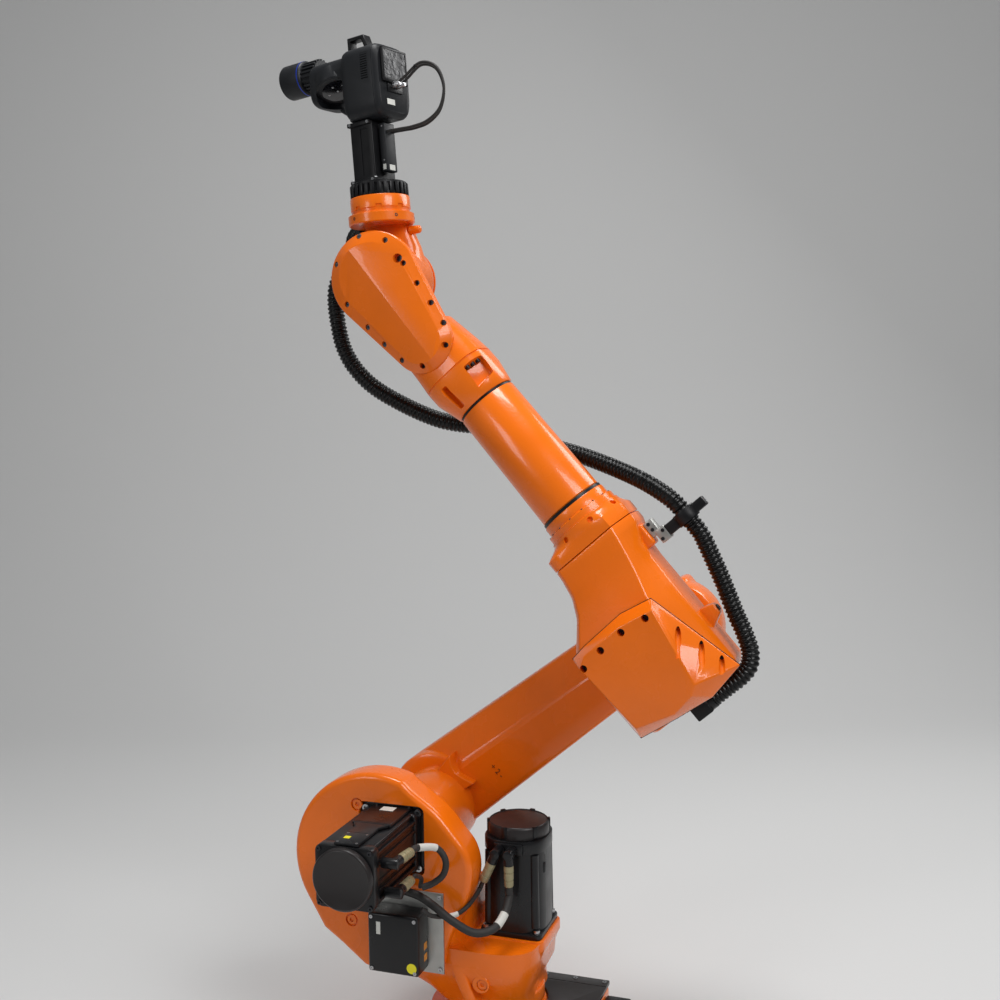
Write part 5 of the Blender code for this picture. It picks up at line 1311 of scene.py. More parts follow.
def build_elbow():
    """The elbow's casting, with the boss under the clamp and the lifting lug."""
    body = soften(skin("arm_elbow", [elbow_ring(shares) for shares in ELBOW_SECTIONS], FORE),
                  0.004, 4, 12.0)
    boss = block("boss", (0.152, -0.018, 0.045), (0.196, 0.018, 0.0800), 0.005, 3, FORE)
    lug = soften(plate("lug", LUG_OUTLINE, -0.018, 0.008, FORE), 0.003, 3)
    fuse(body, boss, lug)
    place(body, "elbow", orange_paint(), ["elbow_housing"])
    screws("elbow_lug_screw", [((-0.004, -0.005, 0.0870), PLUS_Z)], 0.006, 0.004, dark_steel(),
           "elbow", FORE)
    seal_ring("forearm_seal", 0.0640, 0.2983, 0.3037, ORIGIN, PLUS_X, FORE, "elbow",
              "forearm_seal_ring")
    seal_ring("elbow_seal", 0.0640, -0.0847, -0.0793, (0, 0, LINK_LENGTH), PLUS_Y, LINK, "elbow",
              "elbow_bearing_ring")


def build_elbow_cover():
    """The faceted cover with its sunk screws, three scoops and the thin gasket behind it."""
    rings = [[(x, y, z) for x, z in outline] for y, outline in (
        (0.0903, COVER_OUTLINE), (0.0950, COVER_OUTLINE), (0.136, COVER_FACE))]
    cover = soften(skin("elbow_lid", rings, FORE), 0.0045, 4, 18.0)
    holes = screw_holes([((x, 0.1345, z), PLUS_Y) for x, z in COVER_SCREWS], 0.0068, 0.020, FORE)
    way = Vector(SCOOP_WAY).normalized() * 0.97 - Vector(FACET_NORMAL) * 0.24
    scoops = [rod("scoop", Vector(spot) - way * 0.050, Vector(spot) + way * 0.022, 0.0056,
                  matrix=FORE, sides=24) for spot in COVER_SCOOPS]
    carve(cover, *holes, *scoops)
    place(cover, "elbow", orange_paint(), ["elbow_cover"])
    screws("elbow_lid_screws", [((x, 0.1165, z), PLUS_Y) for x, z in COVER_SCREWS],
           0.0058, 0.005, dark_steel(), "elbow", FORE)
    screws("elbow_scoop_screws", [(Vector(spot) + way * 0.0205, tuple(-way)) for spot in COVER_SCOOPS],
           0.0048, 0.003, dark_steel(), "elbow", FORE)
    grown = [(x * GASKET_GROWTH, z * GASKET_GROWTH) for x, z in COVER_OUTLINE]
    place(plate("elbow_gasket", grown, 0.0892, 0.0912, FORE), "elbow", black_plastic())


def reach_of(ray, corners):
    """How far a ray from the middle runs before it leaves the outline."""
    reach = 0.0
    for a, b in zip(corners, corners[1:] + corners[:1]):
        side = b - a
        cross = ray.cross(side)
        if abs(cross) > 1e-9:
            far = a.cross(side) / cross
            share = a.cross(ray) / cross
            if far > 0.0 and -1e-6 <= share <= 1.000001:
                reach = max(reach, far)
    return reach


def build_elbow_flange():
    """The flange: faceted like the housing at its foot, round at the forearm."""
    corners = [Vector((y, z)) for _, y, z in elbow_ring(ELBOW_SECTIONS[-1])]
    rays = [Vector(pair) for pair in spokes(ROUND)]
    reaches = [reach_of(ray, corners) for ray in rays]
    rings = []
    for x, blend, radius in FLANGE_RINGS:
        rings.append([(x, *(ray * (reach * blend + radius * (1.0 - blend))))
                      for ray, reach in zip(rays, reaches)])
    flange = skin("elbow_collar", rings, FORE)
    dimples = [((0.2560, DIMPLE_CIRCLE * c, DIMPLE_CIRCLE * s), (0.45, c, s)) for c, s in spokes(8, 22.0)]
    carve(flange, *screw_holes(dimples, 0.0056, 0.006, FORE, 0.008))
    place(flange, "elbow", orange_paint(), ["elbow_flange"])
    pins = [((0.2795, PIN_CIRCLE * c, PIN_CIRCLE * s), PLUS_X) for c, s in spokes(16)]
    screws("collar_pins", pins, 0.0018, 0.0016, dark_steel(), "elbow", FORE)


def build_clamp_blocks():
    """The two silver blocks that carry the hose clamp."""
    low = block("clamp_block", (0.162, -0.012, 0.0803), (0.192, 0.012, 0.0985), 0.0018, 2, FORE)
    high = block("clamp_cap", (0.143, -0.010, 0.0885), (0.1695, 0.013, 0.1085), 0.0018, 2, FORE)
    place(merged("clamp_blocks", [low, high]), "elbow", aluminium(), ["hose_bracket"])
    places = [((x, 0.0122, 0.0890), PLUS_Y) for x in (0.174, 0.186)]
    places += [((x, 0.0132, z), PLUS_Y) for x, z in ((0.150, 0.0935), (0.162, 0.1030))]
    screws("clamp_screws", places, 0.0034, 0.0016, dark_steel(), "elbow", FORE)


def build_clamp():
    """The black hose clamp: a ring with a foot below and a head above."""
    ring = turned("clamp_ring", CLAMP_PROFILE, (0.156, 0.0, 0.150), PLUS_X, FORE)
    foot = block("foot", (0.1460, -0.0115, 0.1070), (0.1665, 0.0115, 0.1330), 0.0015, 2, FORE)
    head = block("head", (0.1470, -0.0100, 0.1675), (0.1655, 0.0100, 0.1935), 0.002, 2, FORE)
    fuse(ring, foot, head)
    carve(ring, rod("bore", (0.130, 0.0, 0.150), (0.185, 0.0, 0.150), 0.0168, matrix=FORE))
    place(ring, "elbow", black_plastic(), ["hose_clamp"])
    screws("clamp_top_screw", [((0.156, 0.0, 0.1940), PLUS_Z)], 0.0045, 0.0022, steel(), "elbow", FORE)


# hoses
LOWER_ROUTE = (
    (-0.1225, 0.010, -0.0197), (-0.1225, 0.010, -0.0097), (-0.1225, 0.010, 0.0003),
    (-0.1225, 0.010, 0.020), (-0.1225, 0.010, 0.040), (-0.117, 0.009, 0.064),
    (-0.098, 0.007, 0.083), (-0.066, 0.005, 0.096), (-0.037, 0.003, 0.104), (-0.009, 0.002, 0.113),
    (0.031, 0.0, 0.126), (0.065, 0.0, 0.136), (0.099, 0.0, 0.1455), (0.118, 0.0, 0.1495),
    (0.136, 0.0, 0.150), (0.1557, 0.0, 0.150))
MIDDLE_ROUTE = (
    (0.156, 0.0, 0.150), (0.165, 0.0, 0.150), (0.174, 0.0, 0.150), (0.184, -0.001, 0.1492),
    (0.210, -0.007, 0.1430), (0.255, -0.026, 0.124), (0.310, -0.056, 0.092), (0.373, -0.080, 0.052),
    (0.440, -0.092, 0.004), (0.480, -0.094, -0.028), (0.498, -0.094, -0.0382),
    (0.5097, -0.094, -0.045))
UPPER_ROUTE = (
    (0.510, -0.094, -0.045), (0.522, -0.094, -0.0518), (0.540, -0.094, -0.062),
    (0.607, -0.095, -0.121), (0.691, -0.100, -0.166), (0.770, -0.100, -0.192),
    (0.842, -0.100, -0.190), (0.905, -0.100, -0.160), (0.955, -0.100, -0.118))
# the hose's last stretch: place along the hand, and distance from its axis
HAND_ROUTE = ((0.076, 0.146), (0.098, 0.124), (0.106, 0.0991), (0.106, 0.09085), (0.106, 0.0826))
HAND_HOSE_TURN = 50.0
HAND_NUT_PROFILE = (
    (0.0, 0.0), (0.0185, 0.0), (0.0198, 0.0012), (0.0198, 0.0110), (0.0185, 0.0125),
    (0.0185, 0.0188), (0.0175, 0.0200), (0.0, 0.0200))
INLET_NUT_PROFILE = ((0.0, 0.0), (0.0168, 0.0), (0.0168, 0.010), (0.0160, 0.0118), (0.0, 0.0118))


def hand_hose_way():
    """The way in which the hose leaves the hand, across its axis."""
    turn = math.radians(HAND_HOSE_TURN)
    return Vector((0.0, -math.cos(turn), -math.sin(turn)))


def hose_between(name, points, node):
    """One ribbed run in the row frame, in place of a CAD hose."""
    hose = hose_run(name, points)
    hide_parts(node)
    return hose


def build_hose_runs():
    """The three runs: gland to clamp, clamp to clip along the forearm, clip to hand."""
    points = [FORE @ point for point in smooth_route(LOWER_ROUTE)]
    lower = hose_between("hose_to_clamp", points, "hose_lower")
    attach(lower, "elbow")
    points = [FORE @ point for point in smooth_route(MIDDLE_ROUTE)]
    middle = hose_between("hose_to_clip", points, "hose_middle")
    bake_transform(middle)
    way = hand_hose_way()
    route = [FORE @ Vector(point) for point in UPPER_ROUTE]
    route += [HAND @ (Vector((x, 0.0, 0.0)) + way * out) for x, out in HAND_ROUTE]
    points = smooth_route(route)
    upper = hose_between("hose_to_hand", points, "hose_upper")
    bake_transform(upper)


def build_hose_fittings():
    """The gland on the hand, the gland under the elbow and the clip on the forearm."""
    way = hand_hose_way()
    nut = turned("hand_hose_nut", HAND_NUT_PROFILE, Vector((0.106, 0.0, 0.0)) + way * 0.0623, way,
                 HAND, 12)
    place(nut, "hand", black_plastic(), ["hand_hose_gland"])
    inlet = block("hose_inlet", (-0.1395, -0.007, -0.066), (-0.1053, 0.027, -0.032), 0.0025, 3, FORE)
    fuse(inlet, turned("inlet_nut", INLET_NUT_PROFILE, (-0.1225, 0.010, -0.0325), PLUS_Z, FORE, 12))
    place(inlet, "elbow", black_plastic(), ["hose_gland"])
    clip = soften(copy_of("hose_clip", "tube_clip"), 0.0008, 2, 40.0)
    place(clip, "forearm", black_plastic(), ["hose_clip"])
    screws("tube_clip_screws", [((0.510, -0.116, -0.045), MINUS_Y)], 0.004, 0.003, steel(),
           "forearm", FORE)


# forearm
TUBE_PROFILE = ((0.0, 0.3040), (0.0605, 0.3040), (0.0625, 0.3060), (0.0590, 0.5475),
                (0.0580, 0.5488), (0.0, 0.5488))
# place along the forearm, half height, half width, squareness, shift up, shift to the near side
WRIST_SECTIONS = (
    (0.5537, 0.0590, 0.0590, 2.0, 0.0, 0.0), (0.556, 0.0605, 0.0605, 2.05, 0.0, 0.0),
    (0.578, 0.0645, 0.0640, 2.3, -0.002, 0.0), (0.600, 0.0684, 0.0672, 2.6, -0.004, 0.0),
    (0.6250, 0.0683, 0.0658, 2.75, -0.005, 0.0), (0.6258, 0.0664, 0.0639, 2.75, -0.005, 0.0),
    (0.6276, 0.0664, 0.0639, 2.75, -0.005, 0.0), (0.6284, 0.0681, 0.0653, 2.8, -0.005, 0.0),
    (0.660, 0.0649, 0.0590, 3.0, -0.006, 0.0), (0.690, 0.0620, 0.0500, 3.2, -0.008, 0.002),
    (0.720, 0.0590, 0.0425, 3.4, -0.010, 0.004))
BELT_FRONT = 0.855
BELT_REAR = 0.705
BELT_DROP = -0.006
WINDOW_FLOOR = ((0.570, -0.020), (0.612, -0.020), (0.612, 0.020), (0.578, 0.020))
WINDOW_MOUTH = ((0.562, -0.024), (0.619, -0.024), (0.619, 0.024), (0.578, 0.024))
BELT_SCREWS = ((0.930, 0.030), (0.888, 0.064), (0.832, 0.063), (0.787, 0.059), (0.743, 0.055),
               (0.700, 0.049), (0.667, 0.026), (0.667, -0.031), (0.703, -0.056), (0.748, -0.063),
               (0.794, -0.067), (0.853, -0.070), (0.922, -0.037))
ACCESS_HOLE = (0.846, 0.0610)


def belt_outline(front_radius, rear_radius):
    """The belt arm from its side: two rounds and their tangents."""
    return stadium(BELT_FRONT, front_radius, BELT_REAR, rear_radius, 0.0, BELT_DROP)


def build_tube():
    """The plain forearm tube and the seal ring at its end."""
    body = turned("arm_tube", TUBE_PROFILE, ORIGIN, PLUS_X, FORE, ROUND)
    place(body, "forearm", orange_paint(), ["forearm_tube"])
    seal_ring("wrist_seal", 0.0568, 0.5493, 0.5532, ORIGIN, PLUS_X, FORE, "forearm",
              "wrist_seal_ring")


def build_wrist():
    """The wrist housing: round at the tube, flat at the belt arm, with a window and a slit."""
    rings = []
    for x, half_z, half_y, power, shift_z, shift_y in WRIST_SECTIONS:
        rings.append([(x, y + shift_y, z + shift_z) for y, z in superellipse(half_y, half_z, power)])
    body = skin("arm_wrist", rings, FORE)
    fuse(body, soften(plate("arm", belt_outline(0.074, 0.050), 0.012, 0.046, FORE), 0.003, 3, 50.0))
    seat = plate("seat", belt_outline(0.0863, 0.0593), 0.046, 0.090, FORE)
    turn = FORE @ Matrix.Rotation(math.radians(40.0), 4, "X")
    window = skin("window", [[(x, y, z) for x, z in outline] for y, outline in (
        (0.0500, WINDOW_FLOOR), (0.0900, WINDOW_MOUTH))], turn)
    low_turn = FORE @ Matrix.Rotation(math.radians(-24.0), 4, "X")
    slit = block("slit", (0.562, 0.050, -0.007), (0.612, 0.090, 0.007), 0.004, 3, low_turn)
    carve(body, seat, soften(window, 0.003, 3), slit)
    place(body, "forearm", orange_paint(), ["wrist_housing"])
    screws("wrist_window_screws", [((0.6125, 0.0575, z), MINUS_X) for z in (-0.012, 0.0, 0.012)],
           0.0046, 0.0085, dark_steel(), "forearm", turn)


def roof_cover(name, rings):
    """A lofted cover whose top is two flats that meet on a ridge."""
    bm = bmesh.new()
    last = loft(bm, rings)
    front = max(range(len(last)), key=lambda i: last[i].co.x)
    back = min(range(len(last)), key=lambda i: last[i].co.x)
    low, high = sorted((front, back))
    bm.faces.new(last[low:high + 1])
    bm.faces.new(last[high:] + last[:low + 1])
    bmesh.ops.triangulate(bm, faces=[face for face in bm.faces if len(face.verts) > 20])
    return object_from(name, bm, FORE)


def build_belt_cover():
    """The belt cover with its ring of sunk screws and one access hole."""
    rings = [[(x, y, z) for x, z in belt_outline(0.0860, 0.059)] for y in (0.0463, 0.0590)]
    rings.append([(x, 0.0605, z) for x, z in belt_outline(0.0845, 0.0575)])
    rings.append([(x, 0.0790 - 0.17 * abs(z + 0.003), z) for x, z in belt_outline(0.0640, 0.042)])
    cover = roof_cover("belt_lid", rings)
    access_x, access_z = ACCESS_HOLE
    holes = screw_holes([((x, 0.0665, z), PLUS_Y) for x, z in BELT_SCREWS], 0.0054, 0.008, FORE)
    holes += screw_holes([((access_x, 0.0680, access_z), PLUS_Y)], 0.0085, 0.014, FORE)
    carve(cover, *holes)
    soften(cover, 0.0014, 2, 16.0)
    place(cover, "forearm", orange_paint(), ["belt_cover"], smooth=14.0)
    screws("belt_screws", [((x, 0.0592, z), PLUS_Y) for x, z in BELT_SCREWS], 0.0044, 0.0030,
           dark_steel(), "forearm", FORE)
    screws("belt_access_screw", [((access_x, 0.0545, access_z), PLUS_Y)], 0.0060, 0.0030,
           dark_steel(), "forearm", FORE)


# hand
COLLAR_PROFILE = (
    (0.0, 0.1023), (0.0600, 0.1023), (0.0620, 0.1040), (0.0620, 0.1195), (0.0605, 0.1208),
    (0.0560, 0.1212), (0.0560, 0.1230), (0.0545, 0.1240), (0.0545, 0.1285), (0.0560, 0.1295),
    (0.0560, 0.1510), (0.0550, 0.1525), (0.0, 0.1525))
HUB_PROFILE = (
    (0.0, 0.0060), (0.0690, 0.0060), (0.0720, 0.0030), (0.0720, -0.0500), (0.0712, -0.0600),
    (0.0680, -0.0690), (0.0640, -0.0738), (0.0, -0.0738))
# place along the hand, half width and half height of the neck
NECK_SECTIONS = ((0.0, 0.0360, 0.0680), (0.030, 0.0345, 0.0655), (0.060, 0.0310, 0.0590),
                 (0.082, 0.0280, 0.0510), (0.106, 0.0260, 0.0440))
NECK_MIDDLE = -0.033
NOTCH_COUNT = 8
PIN_ANGLES = (50, 110, 150, 210, 330)
HAND_PIN_CIRCLE = 0.0616
FAR_CAP_PROFILE = (
    (0.0, 0.0003), (0.0684, 0.0003), (0.0684, 0.0040), (0.0612, 0.0096), (0.0396, 0.0150),
    (0.0370, 0.0158), (0.0, 0.0160))


def build_hand():
    """The hand's casting: hub on the wrist, neck, collar with its notches, and a small boss."""
    collar = turned("arm_hand", COLLAR_PROFILE, ORIGIN, PLUS_X, HAND, ROUND)
    hub = turned("hub", HUB_PROFILE, ORIGIN, PLUS_Y, HAND, ROUND)
    rings = []
    for x, half_y, half_z in NECK_SECTIONS:
        rings.append([(x, y + NECK_MIDDLE, z) for y, z in superellipse(half_y, half_z, 3.0, 64)])
    neck = skin("neck", rings, HAND)
    boss = soften(rod("boss", (0.090, -0.020, 0.045), (0.090, -0.020, 0.070), 0.0085, 0.0070, HAND, 40),
                  0.004, 4)
    fuse(collar, hub, neck, boss)
    notches = []
    for i in range(NOTCH_COUNT):
        turn = HAND @ Matrix.Rotation(math.radians(20.0 + 360.0 * i / NOTCH_COUNT), 4, "X")
        notches.append(box("notch", (0.1285, 0.0535, -0.006), (0.1345, 0.0600, 0.006), turn))
    carve(collar, *notches)
    place(collar, "hand", orange_paint(), ["hand_housing"])
    pins = []
    for degrees in PIN_ANGLES:
        c, s = spokes(1, degrees)[0]
        pins.append(((0.1120, HAND_PIN_CIRCLE * c, HAND_PIN_CIRCLE * s), (0, c, s)))
    screws("hand_pins", pins, 0.0030, 0.0012, dark_steel(), "hand", HAND)
    seal_ring("hand_seal", 0.0576, 0.0063, 0.0117, ORIGIN, PLUS_Y, HAND, "hand",
              "wrist_bearing_ring")


def build_far_cap():
    """The stepped cap on the hand's far side."""
    cap = turned("hand_lid", FAR_CAP_PROFILE, (0, -0.074, 0), MINUS_Y, HAND, ROUND)
    place(cap, "hand", orange_paint(), ["hand_far_cap"])


# tool
RING_PROFILE = (
    (0.0, 0.0006), (0.0520, 0.0006), (0.0520, 0.0050), (0.0500, 0.0060), (0.0500, 0.0200),
    (0.0520, 0.0210), (0.0520, 0.0250), (0.0505, 0.0260), (0.0, 0.0260))
RING_RIBS = 28
POST_START = 0.0263
POST_END = 0.139
POST_SIDE = 0.0342
RELAY_SIDE = 0.0152
RELAY_BACK = 0.0363


def build_adapter():
    """The ribbed black ring on the flange."""
    core = turned("tool_ring", RING_PROFILE, ORIGIN, PLUS_X, TOOL, ROUND)
    rib = block("tool_ring_ribs", (0.0012, 0.0480, -0.0036), (0.0225, 0.0546, 0.0036), 0.0008, 2)
    place(ring_of(rib, RING_RIBS, "X", black_plastic(), TOOL), "tool", black_plastic())
    place(core, "tool", black_plastic(), ["tool_adapter_ring"])


def build_post():
    """The square post between the ring and the camera head."""
    post = block("tool_column", (POST_START, -0.030, -0.034), (POST_END, 0.030, 0.018), 0.0025, 3, TOOL)
    foot = block("foot", (POST_START, -0.034, -0.040), (0.0330, 0.034, 0.022), 0.0015, 2, TOOL)
    top = block("top", (0.1310, -0.034, -0.0375), (POST_END, 0.034, 0.0170), 0.0015, 2, TOOL)
    fuse(post, foot, top)
    carve(post, box("groove", (0.040, 0.0285, -0.010), (0.125, 0.034, 0.008), TOOL))
    place(post, "tool", black_plastic(), ["tool_post"])
    heads = [((0.0332, y, z), PLUS_X) for y in (-0.031, 0.031) for z in (-0.037, 0.019)]
    heads += [((x, POST_SIDE, z), PLUS_Y) for x, z in (
        (0.135, -0.030), (0.135, 0.012), (0.0300, -0.032), (0.0300, 0.014))]
    screws("post_screws", heads, 0.0026, 0.0030, steel(), "tool", TOOL)


def build_relay_box():
    """The small interface box on the post, with two plain white stickers."""
    unit = block("relay_box", (0.0433, -0.015, 0.0225), (0.132, 0.015, 0.0361), 0.002, 3, TOOL)
    fuse(unit, block("relay_seat", (0.050, -0.012, 0.0186), (0.125, 0.012, 0.0250), 0.0008, 2, TOOL))
    place(unit, "tool", slate_plastic(), ["interface_box"])
    label("relay_tag", [(0.046, -0.008, RELAY_BACK), (0.046, 0.008, RELAY_BACK),
                        (0.056, 0.008, RELAY_BACK), (0.056, -0.008, RELAY_BACK)],
          0.0003, white_tag(), "tool", TOOL)
    label("relay_side_tag", [(0.047, RELAY_SIDE, 0.0265), (0.057, RELAY_SIDE, 0.0265),
                             (0.057, RELAY_SIDE, 0.0335), (0.047, RELAY_SIDE, 0.0335)],
          0.0003, white_tag(), "tool", TOOL)
    screws("relay_screws", [((x, RELAY_SIDE, 0.030), PLUS_Y) for x in (0.064, 0.126)], 0.0016, 0.0010,
           steel(), "tool", TOOL)


# camera head
HEAD_AT = 0.2053
POD_AT = 0.2213
BARREL_AT = 0.2530
WINDOW_AT = Vector((0.2070, 0.0240, -0.0620))
WINDOW_OUT = Vector((-0.900, 0.330, 0.280)).normalized()
WINDOW_HALF_WIDTH = 0.0300
WINDOW_HALF_HEIGHT = 0.0250
WINDOW_LAMPS = ((-0.019, 0.004), (-0.002, 0.013), (-0.001, -0.001), (0.018, 0.003))
# level across the head, and its share of the full section
HEAD_LEVELS = ((-0.0300, 0.920), (-0.0270, 0.965), (-0.0210, 0.992), (-0.0150, 1.0),
               (0.0420, 1.0), (0.0470, 0.975), (0.0510, 0.935), (0.0550, 0.860))
POD_LEVELS = ((-0.1120, 0.900), (-0.1090, 0.950), (-0.1050, 0.985), (-0.1000, 1.0), (-0.0180, 1.0))
WINDOW_DRUM_PROFILE = (
    (0.0, 0.0), (0.0380, 0.0), (0.0380, 0.0265), (0.0365, 0.0290), (0.0335, 0.0303),
    (0.0325, 0.0300), (0.0, 0.0300))
WINDOW_DEPTH = 0.0300
HEAD_WEB = ((0.1415, -0.0335), (0.1480, -0.0420), (0.1780, -0.0880), (0.2200, -0.0880),
            (0.2200, 0.0100), (0.1415, 0.0170))
HEAD_THROAT = ((0.1415, -0.0335), (0.1620, -0.0345), (0.1620, 0.0100), (0.1415, 0.0170))
HEAD_CHIN = ((0.1395, -0.0280), (0.1480, -0.0280), (0.1480, 0.0500), (0.1395, 0.0400))
VENT_COUNT = 12
VENT_STEP = 0.0042
VENT_WIDTH = 0.0019
BARREL_PROFILE = (
    (0.0, 0.0003), (0.0255, 0.0003), (0.0255, 0.0340), (0.0280, 0.0350), (0.0318, 0.0370),
    (0.0325, 0.0385), (0.0325, 0.0852), (0.0318, 0.0865), (0.0300, 0.0865), (0.0285, 0.0800),
    (0.0265, 0.0560), (0.0, 0.0560))
BARREL_FINS = 22
SOCKET_PROFILE = (
    (0.0, 0.0), (0.0056, 0.0), (0.0056, 0.0080), (0.0042, 0.0110), (0.0042, 0.0165),
    (0.0032, 0.0185), (0.0, 0.0185))
HEAD_BACK = 0.0553
LEAD_ENTRY = 0.196
LEAD_SPREAD = 0.007
LEAD_RADIUS = 0.0026
LOOP_ROUTE = ((0.206, 0.088), (0.222, 0.124), (0.208, 0.158), (0.172, 0.172), (0.136, 0.160),
              (0.118, 0.130), (0.114, 0.096), (0.115, 0.070))


def head_rings(middle, half_x, half_y, power, levels):
    rings = []
    for z, share in levels:
        rings.append([(middle + x, y, z)
                      for x, y in superellipse(half_x * share, half_y * share, power, 80)])
    return rings


def head_vents():
    """Cutters for the rows of slots on both sides of the head."""
    vents = []
    for i in range(VENT_COUNT):
        x = 0.2070 + i * VENT_STEP
        vents.append(box("vent", (x, 0.0470, 0.0190), (x + VENT_WIDTH, 0.0600, 0.0350), TOOL))
        vents.append(box("vent", (x, -0.0600, 0.0190), (x + VENT_WIDTH, -0.0470, 0.0350), TOOL))
    return vents


def build_scanner_body():
    """The head's shell: body, lens pod, window drum and the webs down to the post."""
    body = skin("camera_body", head_rings(HEAD_AT, 0.066, 0.050, 5.0, HEAD_LEVELS), TOOL)
    pod = skin("pod", head_rings(POD_AT, 0.041, 0.0475, 4.0, POD_LEVELS), TOOL)
    carve(pod, rod("clear", WINDOW_AT - WINDOW_OUT * 0.0005, WINDOW_AT + WINDOW_OUT * 0.060, 0.0400,
                   matrix=TOOL))
    drum = turned("drum", WINDOW_DRUM_PROFILE, WINDOW_AT - WINDOW_OUT * WINDOW_DEPTH, WINDOW_OUT,
                  TOOL, 80)
    web = soften(plate("web", HEAD_WEB, -0.032, -0.006, TOOL), 0.006, 4)
    throat = soften(plate("throat", HEAD_THROAT, -0.030, 0.030, TOOL), 0.004, 3)
    chin = soften(plate("chin", HEAD_CHIN, -0.030, 0.030, TOOL), 0.002, 2)
    fuse(body, pod, drum, web, throat, chin)
    hold = skin("hold", head_rings(HEAD_AT, 0.0650, 0.0490, 5.0, ((0.030, 1.0), (0.060, 1.0))), TOOL)
    seam = box("seam", (0.130, -0.070, 0.0440), (0.280, 0.070, 0.0449), TOOL)
    carve(seam, hold)
    carve(body, seam, *head_vents())
    place(body, "tool", slate_plastic(), ["scanner_body"])


def build_handle():
    """The carrying handle, as the CAD has it, with softer edges."""
    handle = soften(copy_of("scanner_handle", "camera_handle"), 0.0006, 2, 40.0)
    place(handle, "tool", black_plastic(), ["scanner_handle"])


def build_window():
    """The oval dark window in its drum, with four small lamps behind it."""
    side = WINDOW_OUT.cross(Vector(PLUS_Y)).normalized()
    up = side.cross(WINDOW_OUT).normalized()
    outline = [WINDOW_AT + side * WINDOW_HALF_WIDTH * c + up * WINDOW_HALF_HEIGHT * s
               for c, s in spokes(FINE)]
    rings = [[point + WINDOW_OUT * rise for point in outline] for rise in (-0.0006, 0.0008)]
    place(skin("camera_window", rings, TOOL), "tool", lens_glass())
    lamps = [(WINDOW_AT + side * across + up * rise + WINDOW_OUT * 0.0009, tuple(WINDOW_OUT))
             for across, rise in WINDOW_LAMPS]
    screws("camera_lamps", lamps, 0.0019, 0.0008, steel(), "tool", TOOL)


def build_barrel():
    """The lens barrel with its finned sleeve, blue ring and glass."""
    barrel = turned("camera_barrel", BARREL_PROFILE, (BARREL_AT, 0.0, -0.1123), MINUS_Z, TOOL, 80)
    fin = box("barrel_fins", (0.0235, -0.0016, -0.1455), (0.0288, 0.0016, -0.1140))
    middle = TOOL @ Matrix.Translation((BARREL_AT, 0.0, 0.0))
    place(ring_of(fin, BARREL_FINS, "Z", slate_plastic(), middle), "tool", slate_plastic())
    place(barrel, "tool", slate_plastic(), ["scanner_barrel"])
    rim = turned("camera_blue_ring", hollow(0.0300, 0.0327, 0.0, 0.0022),
                 (BARREL_AT, 0.0, -0.1520), MINUS_Z, TOOL, 80)
    place(rim, "tool", blue_ring())
    glass = rod("camera_glass", (BARREL_AT, 0.0, -0.1690), (BARREL_AT, 0.0, -0.1705), 0.0266,
                matrix=TOOL)
    place(glass, "tool", lens_glass())


def build_rear_panel():
    """The framed panel on the head's rear, the seat of the two sockets and a plain sticker."""
    back = block("camera_back", (0.1993, -0.036, HEAD_BACK), (0.2613, 0.036, 0.0613), 0.0018, 2, TOOL)
    carve(back, box("hollow", (0.2075, -0.0320, 0.0600), (0.2575, 0.0320, 0.0650), TOOL))
    place(back, "tool", black_plastic(), ["scanner_rear_cover"])
    sheet = box("camera_rear_sheet", (0.2077, -0.0318, 0.0598), (0.2573, 0.0318, 0.0604), TOOL)
    place(sheet, "tool", crinkled_sheet())
    seat = block("camera_socket_seat", (0.1830, -0.0220, 0.0535), (0.1988, 0.0220, 0.0575), 0.0012, 2,
                 TOOL)
    place(seat, "tool", black_plastic())
    flat_label("camera_rear_tag", (0.1600, 0.002), (0.1700, 0.024), HEAD_BACK, 0.0003, white_tag(),
               "tool", TOOL)
    sockets = [turned("socket", SOCKET_PROFILE, (LEAD_ENTRY, y, 0.0570), PLUS_Z, TOOL, 20)
               for y in (LEAD_SPREAD, -LEAD_SPREAD)]
    place(merged("camera_sockets", sockets), "tool", steel())


def camera_lead_points(y, growth):
    """Out of the head's rear, round the loop and into the interface box."""
    route = [(LEAD_ENTRY, y, HEAD_BACK), (LEAD_ENTRY, y, 0.0605), (LEAD_ENTRY, y, 0.0657)]
    route += [(x, y, z * growth) for x, z in LOOP_ROUTE]
    route += [(0.116, y, 0.0470), (0.116, y, 0.0418), (0.116, y, 0.0366)]
    return [TOOL @ point for point in smooth_route(route)]


def build_camera_leads():
    """The two thin leads from the head's rear to the interface box, with a tie."""
    for name, y, growth, node in (("camera_power_lead", LEAD_SPREAD, 1.0, "camera_lead_power"),
                                  ("camera_signal_lead", -LEAD_SPREAD, 0.94, "camera_lead_signal")):
        points = camera_lead_points(y, growth)
        lead = tube(name, points, LEAD_RADIUS)
        place(lead, "tool", lead_rubber(), [node])
    tie = turned("camera_lead_tie", hollow(0.0028, 0.0036, -0.0016, 0.0016),
                 (0.2180, LEAD_SPREAD, 0.1120), (-0.1, 0.0, 1.0), TOOL, 16)
    place(tie, "tool", black_plastic())


# stage
CAMERA_PLACE = (-0.769, 2.175, 1.275)
CAMERA_YAW = -70.98
CAMERA_PITCH = 5.24
CAMERA_ROLL = 0.62
# focal length and picture width in pixels, and the sensor's width in millimetres
FOCAL_PIXELS = 1242.8
PICTURE_PIXELS = 1000.0
SENSOR = 36.0
FLOOR_HALF_WIDTH = 9.0
FLOOR_FRONT = -6.0
BEND_START = 2.2
BEND_RADIUS = 1.6
WALL_HEIGHT = 7.0
LIGHT_TARGET = (-0.05, 0.0, 0.9)
